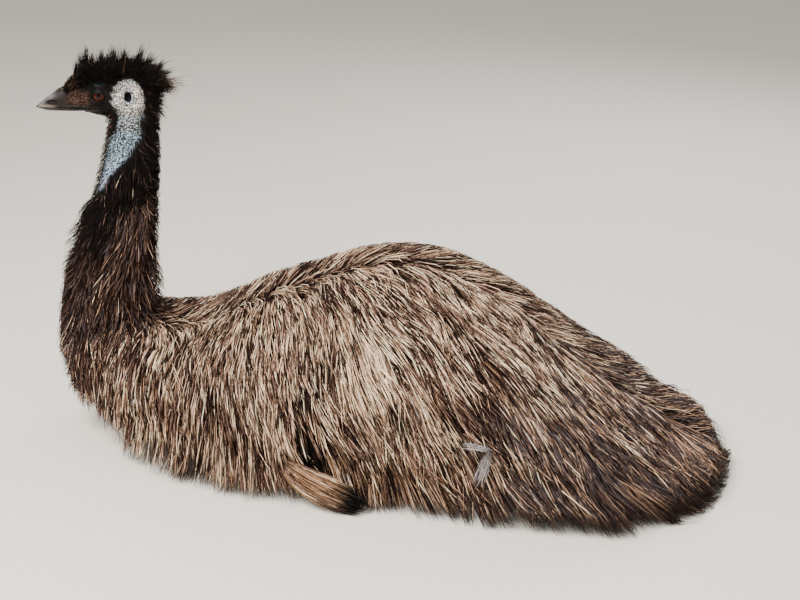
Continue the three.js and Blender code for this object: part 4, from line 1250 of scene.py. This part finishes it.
NECK_SPACING, NECK_SPREAD, NECK_STRANDS = 7.3, 2.8, 6
LOW_LENGTH, HIGH_LENGTH, NAPE_LENGTH = 74.0, 44.0, 27.0
LOW_RISE, HIGH_RISE, NAPE_RISE = 11.0, 9.0, 10.0
CHIN_LENGTH, CHIN_RISE = 0.36, 0.3  # shares of the nape's, in front of it
LOW_WIDTH, HIGH_WIDTH, NECK_THICKNESS = 1.5, 0.9, 0.6
NECK_CLUMP, NECK_SWIRL = 0.5, 0.3
BACK_BULK_Z, BACK_BULK = (230, 262, 290, 350, 420), (0, 11, 22, 12, 0)  # fuller coat behind
FRONT_BULK_Z, FRONT_BULK = (260, 340, 420, 470), (0, 6, 12, 6)  # and in front

middles = scatter(neck_roots, 80000, NECK_SPACING)
tufts = len(middles)
root = tuft_roots(middles, NECK_STRANDS, NECK_SPREAD, (0.2, 0.1, 1.0))
tone = np.repeat(random.normal(0, 1, tufts), NECK_STRANDS)
middle_x = neck_section(root[:, 2])[0]
height = np.clip((root[:, 2] - 150) / 300, 0, 1)
nape = ease((root[:, 2] - 440) / 40)
chin = nape * (root[:, 0] < middle_x)
length = mix(mix(LOW_LENGTH, HIGH_LENGTH, height), NAPE_LENGTH, nape)
length = length * mix(1.0, CHIN_LENGTH, chin) * random.uniform(0.6, 1.25, len(root))
back_share = np.clip((root[:, 0] - middle_x) / 40, -1, 1)
bulk = np.interp(root[:, 2], BACK_BULK_Z, BACK_BULK) * np.maximum(back_share, 0)
bulk += np.interp(root[:, 2], FRONT_BULK_Z, FRONT_BULK) * np.maximum(-back_share, 0)
rise = mix(mix(LOW_RISE, HIGH_RISE, height), NAPE_RISE, nape) * mix(1.0, CHIN_RISE, chin) + bulk
rise *= random.uniform(0.2, 1.2, len(root))
paths, outs = tufted(root, tufts, length, rise, NECK_CLUMP, NECK_SWIRL)
width = mix(LOW_WIDTH, HIGH_WIDTH, height) * random.uniform(0.7, 1.2, len(root))
roll = random.normal(0, 0.5, len(root))
points = blades(paths, outs, width, NECK_THICKNESS, roll, BODY_RINGS)
colours = strand_colours(neck_plumage(root, tone), 0.8, 0.6, BODY_RINGS)
unwrap = neck_unwrap(root)
front = root[:, 0] < middle_x - 4
for part, inside in (("front", front), ("back", ~front)):
    chosen = np.flatnonzero(inside)
    coat_pieces(f"coat_neck_{part}", chosen, points, colours, unwrap)


# The crest and the face
# Stiff, hair-like bristles: black and upright over the crown, spiky on the forehead, longer, brown
# and wispy at the back of the head, and short and close on the face, browner before the eye.
def head_unwrap(head):
    """Length along the skull and the angle round it, in the upper right of the map."""
    share = (head[:, 0] - SKULL_X[0]) / (SKULL_X[1] - SKULL_X[0])
    angle = np.arctan2(head[:, 1], head[:, 2])
    return np.stack((0.52 + 0.44 * share, 0.80 + 0.17 * angle / np.pi), -1)


def skull_roots(count, low_t, high_t, low_angle, high_angle, rear=None):
    """Random roots on the skull in the head's frame, on both sides, with the way out of the skin."""
    t = random.uniform(low_t, high_t, count)
    if rear:
        t = 1 - rear * np.sqrt(t)  # evenly over the cap at the back of the skull
    angle = random.uniform(low_angle, high_angle, count) * np.pi * random.choice((-1, 1), count)
    p = skull_point(t, angle)
    along = p - skull_point(t - 0.01, angle)
    around = skull_point(t, angle + 0.02) - p
    return p, unit(np.cross(around, along))


BRISTLE_SINK = 1.5  # how deep a bristle stands in the skin
BRISTLE_ROUND = 0.6  # its thickness as a share of its width


def bristles(name, head, way, bend, length, width, shades, root_dark, tip_dark):
    """Bristles from roots in the head's frame, each along its own way and bent by bend."""
    steps = np.linspace(0, 1, 9)[:, None, None]
    start = head - way * BRISTLE_SINK
    paths = start + way * length[:, None] * steps + bend * length[:, None] * steps**2
    outs = np.repeat(unit(np.cross(way, (0.1, 1.0, 0.2)))[None], len(steps), 0)
    roll = random.uniform(-1.5, 1.5, len(head))
    thickness = width * BRISTLE_ROUND
    points = blades(head_placed(paths), outs @ turned.T, width, thickness, roll, BRISTLE_RINGS)
    colours = strand_colours(shades, root_dark, tip_dark, BRISTLE_RINGS)
    return coat_piece(name, points, colours, head_unwrap(head), BRISTLE_RINGS)


# The crest proper. Its tips reach these heights over the eyes, from the forehead to the back of
# the head.
CREST_X = (-58, -47, -36, -25, -18, -11, 0, 20, 38, 48, 60, 69, 76, 88, 104, 116)
CREST_HEIGHT = (14, 28, 42, 56, 76, 54, 60, 70, 70, 58, 62, 76, 56, 54, 40, 22)
CREST_BRISTLES = 7000
CREST_LEAN_X, CREST_LEAN = (-54, -38, -20, 10, 40, 77), (0.7, 0.1, 0.0, 0.1, 0.25, 0.5)
CREST_LENGTH_X, CREST_LENGTH = (-54, -40, 30, 60, 77), (14, 46, 46, 38, 32)
head, out = skull_roots(CREST_BRISTLES, 0.15, 0.985, 0.0, 0.34)
keep = bare_skin(head_placed(head)) < 0.5
head, out = head[keep], out[keep]
x = head[:, 0]
count = len(head)
lean = np.interp(x, CREST_LEAN_X, CREST_LEAN)
clump = np.stack((waves(head, 16, 31), waves(head, 14, 32), 0.5 * waves(head, 16, 34)), -1) * 0.42
way = out * 0.8 + np.stack((lean, 0 * x, 0.55 + 0 * x), -1) + clump
way = unit(way + random.normal(0, 0.14, head.shape))
bend = np.stack((0.05 + 0.2 * ease((x - 20) / 50), 0 * x, -0.05 - 0.15 * ease((x - 35) / 40)), -1)
bend = bend + random.normal(0, 0.3, head.shape)
length = random.uniform(0.5, 1.0, count) * np.interp(x, CREST_LENGTH_X, CREST_LENGTH)
tip = head + (way + bend) * length[:, None]
tuft_height = 0.8 + 0.3 * waves(head * (1, 0.5, 0), 13, 36)
room = np.interp(tip[:, 0], CREST_X, CREST_HEIGHT) * random.uniform(0.66, 1.0, count) - head[:, 2]
room *= np.where(x < 60, np.clip(tuft_height, 0.42, 1.0), 1.0)
length *= np.clip(room / np.maximum(tip[:, 2] - head[:, 2], 1), 0.1, 1)
rusty = 0.02 + 0.25 * ease((x - 60) / 16) + 0.3 * ease((-20 - x) / 15)
draw = random.random(count)
shades = np.where(draw < rusty * 0.05, GINGER, np.where(draw < rusty * 0.25, UMBER, BLACK))
shades = np.where((draw > 0.8) & (draw < 0.8 + 0.5 * rusty), SOOT, shades)
width = random.uniform(0.4, 0.9, count)
bristles("crest_bristles", head, way, bend, length, width, shades, 1.0, 0.1)

# Separate spikes of the crest, each a pinch of bristles that lean together, and a few rusty wisps
# that trail behind the head: root x, tip x, tip height, how far the tips scatter, bristles
SPIKES = (
    (-35, -34, 52, 1.6, 34),
    (-28, -27, 63, 1.5, 40),
    (-21, -18, 77, 1.7, 46),
    (-12, -9, 66, 2.0, 40),
    (2, 6, 69, 2.6, 50),
    (24, 22, 75, 3.2, 60),
    (38, 40, 73, 2.6, 50),
    (54, 70, 76, 2.6, 60),
    (62, 86, 63, 3.4, 60),
    (70, 104, 50, 4.0, 70),
    (73, 116, 34, 4.5, 60),
    (74, 132, 14, 9.0, 40),
)
heads, ways, lengths, marks = [], [], [], []
for root_x, tip_x, tip_z, tip_spread, pinch in SPIKES:
    share = (root_x + random.normal(0, 2.5, pinch) - SKULL_X[0]) / (SKULL_X[1] - SKULL_X[0])
    t = np.arccos(np.clip(1 - 2 * share, -0.999, 0.999)) / np.pi
    start = skull_point(t, random.normal(0, 0.25, pinch))
    goal = np.array((tip_x, -2, tip_z)) + random.normal(0, tip_spread, (pinch, 3))
    goal = mix(start, goal, random.uniform(0.75, 1.0, (pinch, 1)))
    heads.append(start)
    ways.append(unit(goal - start))
    lengths.append(np.linalg.norm(goal - start, axis=1))
    rusty_share = 0.7 if tip_x > 120 else 0.08
    marks.append(np.where(random.random(pinch) < rusty_share, UMBER, BLACK))
head, way, length, shades = (np.concatenate(v) for v in (heads, ways, lengths, marks))
bend = random.normal(0, 0.09, head.shape)
width = random.uniform(0.4, 0.8, len(head))
bristles("crest_spikes", head, way, bend, length, width, shades, 1.0, 0.1)

# The nape's bristles, over the cap at the back of the skull.
NAPE_BRISTLES = 4200
head, out = skull_roots(NAPE_BRISTLES, 0.0, 1.0, 0.15, 1.0, rear=0.2)
keep = bare_skin(head_placed(head)) < 0.6
head, out = head[keep], out[keep]
count = len(head)
way = unit(out * 0.9 + (0.55, 0, -0.35) + random.normal(0, 0.34, head.shape))
bend = np.array((-0.05, 0, -0.4)) + random.normal(0, 0.36, head.shape)
length = random.uniform(8, 22, count)
shades = np.where(random.random(count) < 0.03, UMBER, BLACK)
width = random.uniform(0.4, 0.9, count)
bristles("nape_bristles", head, way, bend, length, width, shades, 1.0, 0.3)

# The face's short, close bristles, which leave the lids, the brow, the jaws and the bill free.
FACE_BRISTLES = 4200
LIDS_FREE = (14.5, 11.5)
BILL_EDGE_Z, BILL_EDGE_X = (-30, -15, 0, 12), (-26, -34, -42, -52)
head, out = skull_roots(FACE_BRISTLES, 0.1, 0.97, 0.2, 1.0)
flat = head * SIDE_VIEW
from_eye = np.hypot(head[:, 0] / LIDS_FREE[0], head[:, 2] / LIDS_FREE[1])
keep = (from_eye > 1) & (bare_skin(head_placed(head)) < 0.35) & (jaw_strip(head) < 0.3)
keep &= spot(flat, BROW, (13, 1, 4), 0.3) < 0.5
keep &= head[:, 0] > np.interp(head[:, 2], BILL_EDGE_Z, BILL_EDGE_X)
head, out = head[keep], out[keep]
x = head[:, 0]
count = len(head)
back = lie_along(np.array((1.0, 0.0, -0.25)), out)
chin = head[:, 2] < -26
back = np.where(chin[:, None], lie_along(np.array((0.7, 0.0, -0.7)), out), back)
way = unit(back + out * random.uniform(0.1, 0.5, (count, 1)) + random.normal(0, 0.14, head.shape))
length = np.interp(x, (-50, -20, 10, 40), (3, 5, 9, 11)) * random.uniform(0.6, 1.2, count)
before_eye = spot(head * SIDE_VIEW, (-34, 0, -2), (22, 1, 13), 0.5)
draw = random.random(count)
shades = np.where(draw < 0.7 * before_eye + 0.1, SOOT, BLACK)
shades = np.where(draw < 0.3 * before_eye, UMBER, shades)
width = random.uniform(0.4, 0.75, count)
bristles("face_bristles", head, way, 0 * way, length, width, shades, 0.5, 0.2)


# The hairs of the bare skin
# Sparse black hairs, 3 to 6 mm long and longer at the throat's front edge, that lie down the blue
# skin, and close white down round the ear. They are about 0.5 mm wide, coarser than life, so that
# they show.
BARE_Z = (404, 560)
HAIR_SPACING, HAIR_SINK, HAIR_STEPS = 3.0, 0.6, 4
HAIR_THICKNESS = 0.4


def bare_roots(count):
    """Random places on the bare skin of the throat."""
    z = random.uniform(*BARE_Z, count)
    p = neck_point(z, random.uniform(-np.pi, np.pi, count))
    return p[bare_skin(p) > 0.3]


root = scatter(bare_roots, 9000, HAIR_SPACING)
x, half_depth, _ = neck_section(root[:, 2])
at_front = ease(((x - root[:, 0]) / half_depth - 0.7) / 0.25)  # longer down the throat's front edge
length = random.uniform(2.5, 6, len(root)) + 11 * at_front
rise = random.uniform(1.0, 2.2, len(root)) + random.uniform(2, 8, len(root)) * at_front
swirl = random.normal(0, 0.45, len(root))
paths, outs = grow(root, length, rise, swirl, HAIR_SINK, HAIR_STEPS)
width = random.uniform(0.35, 0.6, len(root))
points = blades(paths, outs, width, HAIR_THICKNESS, random.normal(0, 0.5, len(root)), BODY_RINGS)
colours = strand_colours(np.full(len(root), BLACK), 0.2, 0.2, BODY_RINGS)
coat_piece("throat_hairs", points, colours, neck_unwrap(root), BODY_RINGS)

EAR_DOWN = 2600
EAR_FREE = (9.0, 12.5)  # the opening and its rim stay bare
head, out = skull_roots(EAR_DOWN, 0.4, 0.97, 0.3, 0.85)
across_ear = (head[:, 0] - EAR_PLACE[0]) / EAR_FREE[0]
down_ear = (head[:, 2] - EAR_PLACE[2]) / EAR_FREE[1]
keep = (bare_skin(head_placed(head)) > 0.5) & (np.hypot(across_ear, down_ear) > 1)
head, out = head[keep], out[keep]
way = lie_along(np.array((0.55, 0.0, -1.0)), out) + out * 0.3
way = unit(way + random.normal(0, 0.15, head.shape))
shades = random.choice((PEARL, STRAW, UMBER), len(head), p=(0.6, 0.32, 0.08))
length = random.uniform(2.5, 5.0, len(head))
width = random.uniform(0.4, 0.7, len(head))
bristles("ear_down", head, way, 0 * way, length, width, shades, 0.05, 0.0)


# The floor and the light
# A plain pale floor, a large soft light high on the camera's left, weaker ones on its right and
# behind the bird, and an even sky, so that the coat is modelled by soft shadows.
FLOOR_SIDE = 14  # metres
GRAIN_A_METRE = 90.0  # 11 mm each
WARM_GREY = ((0.2, "dcd6cc"), (0.8, "e4dfd6"))
AIM = (-40, 0, 180)
bpy.ops.object.select_all(action="DESELECT")
bpy.ops.mesh.primitive_plane_add(size=FLOOR_SIDE)
floor = bpy.context.active_object
floor.name = floor.data.name = "floor"
paper = new_material("pale_floor")
place = node(paper, "ShaderNodeTexCoord")
on_floor = {"Vector": (place, "Object")}
grain = node(paper, "ShaderNodeTexNoise", on_floor, Scale=GRAIN_A_METRE, Detail=4.0)
shades = node(paper, "ShaderNodeValToRGB", {"Fac": (grain, "Fac")}, stops=WARM_GREY)
shader = node(paper, "ShaderNodeBsdfPrincipled", {"Base Color": (shades, 0)}, Roughness=0.9)
node(paper, "ShaderNodeOutputMaterial", {"Surface": (shader, 0)})
floor.data.materials.append(paper)
floor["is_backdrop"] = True

for name, stand, size, power, colour in (
    ("key_light", (-900, -1500, 2300), 1.3, 176, (1.0, 0.955, 0.905)),
    ("fill_light", (1900, -1400, 1500), 2.2, 32, (0.97, 0.98, 1.0)),
    ("rim_light", (900, 2000, 1900), 1.6, 40, (1.0, 0.98, 0.95)),
):
    lamp = bpy.data.objects.new(name, bpy.data.lights.new(name, "AREA"))
    bpy.context.scene.collection.objects.link(lamp)
    lamp.data.size, lamp.data.energy, lamp.data.color = size, power, colour
    lamp.location = in_frame(stand)
    to_bird = Vector(in_frame(AIM)) - lamp.location
    lamp.rotation_euler = to_bird.to_track_quat("-Z", "Y").to_euler()

world = bpy.data.worlds.new("even_sky")
bpy.context.scene.world = world
world.use_nodes = True
sky = world.node_tree.nodes["Background"]
sky.inputs["Color"].default_value = (0.98, 0.97, 0.96, 1)
sky.inputs["Strength"].default_value = 0.6

# The box round everything rendered, apart from the floor
low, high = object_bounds()
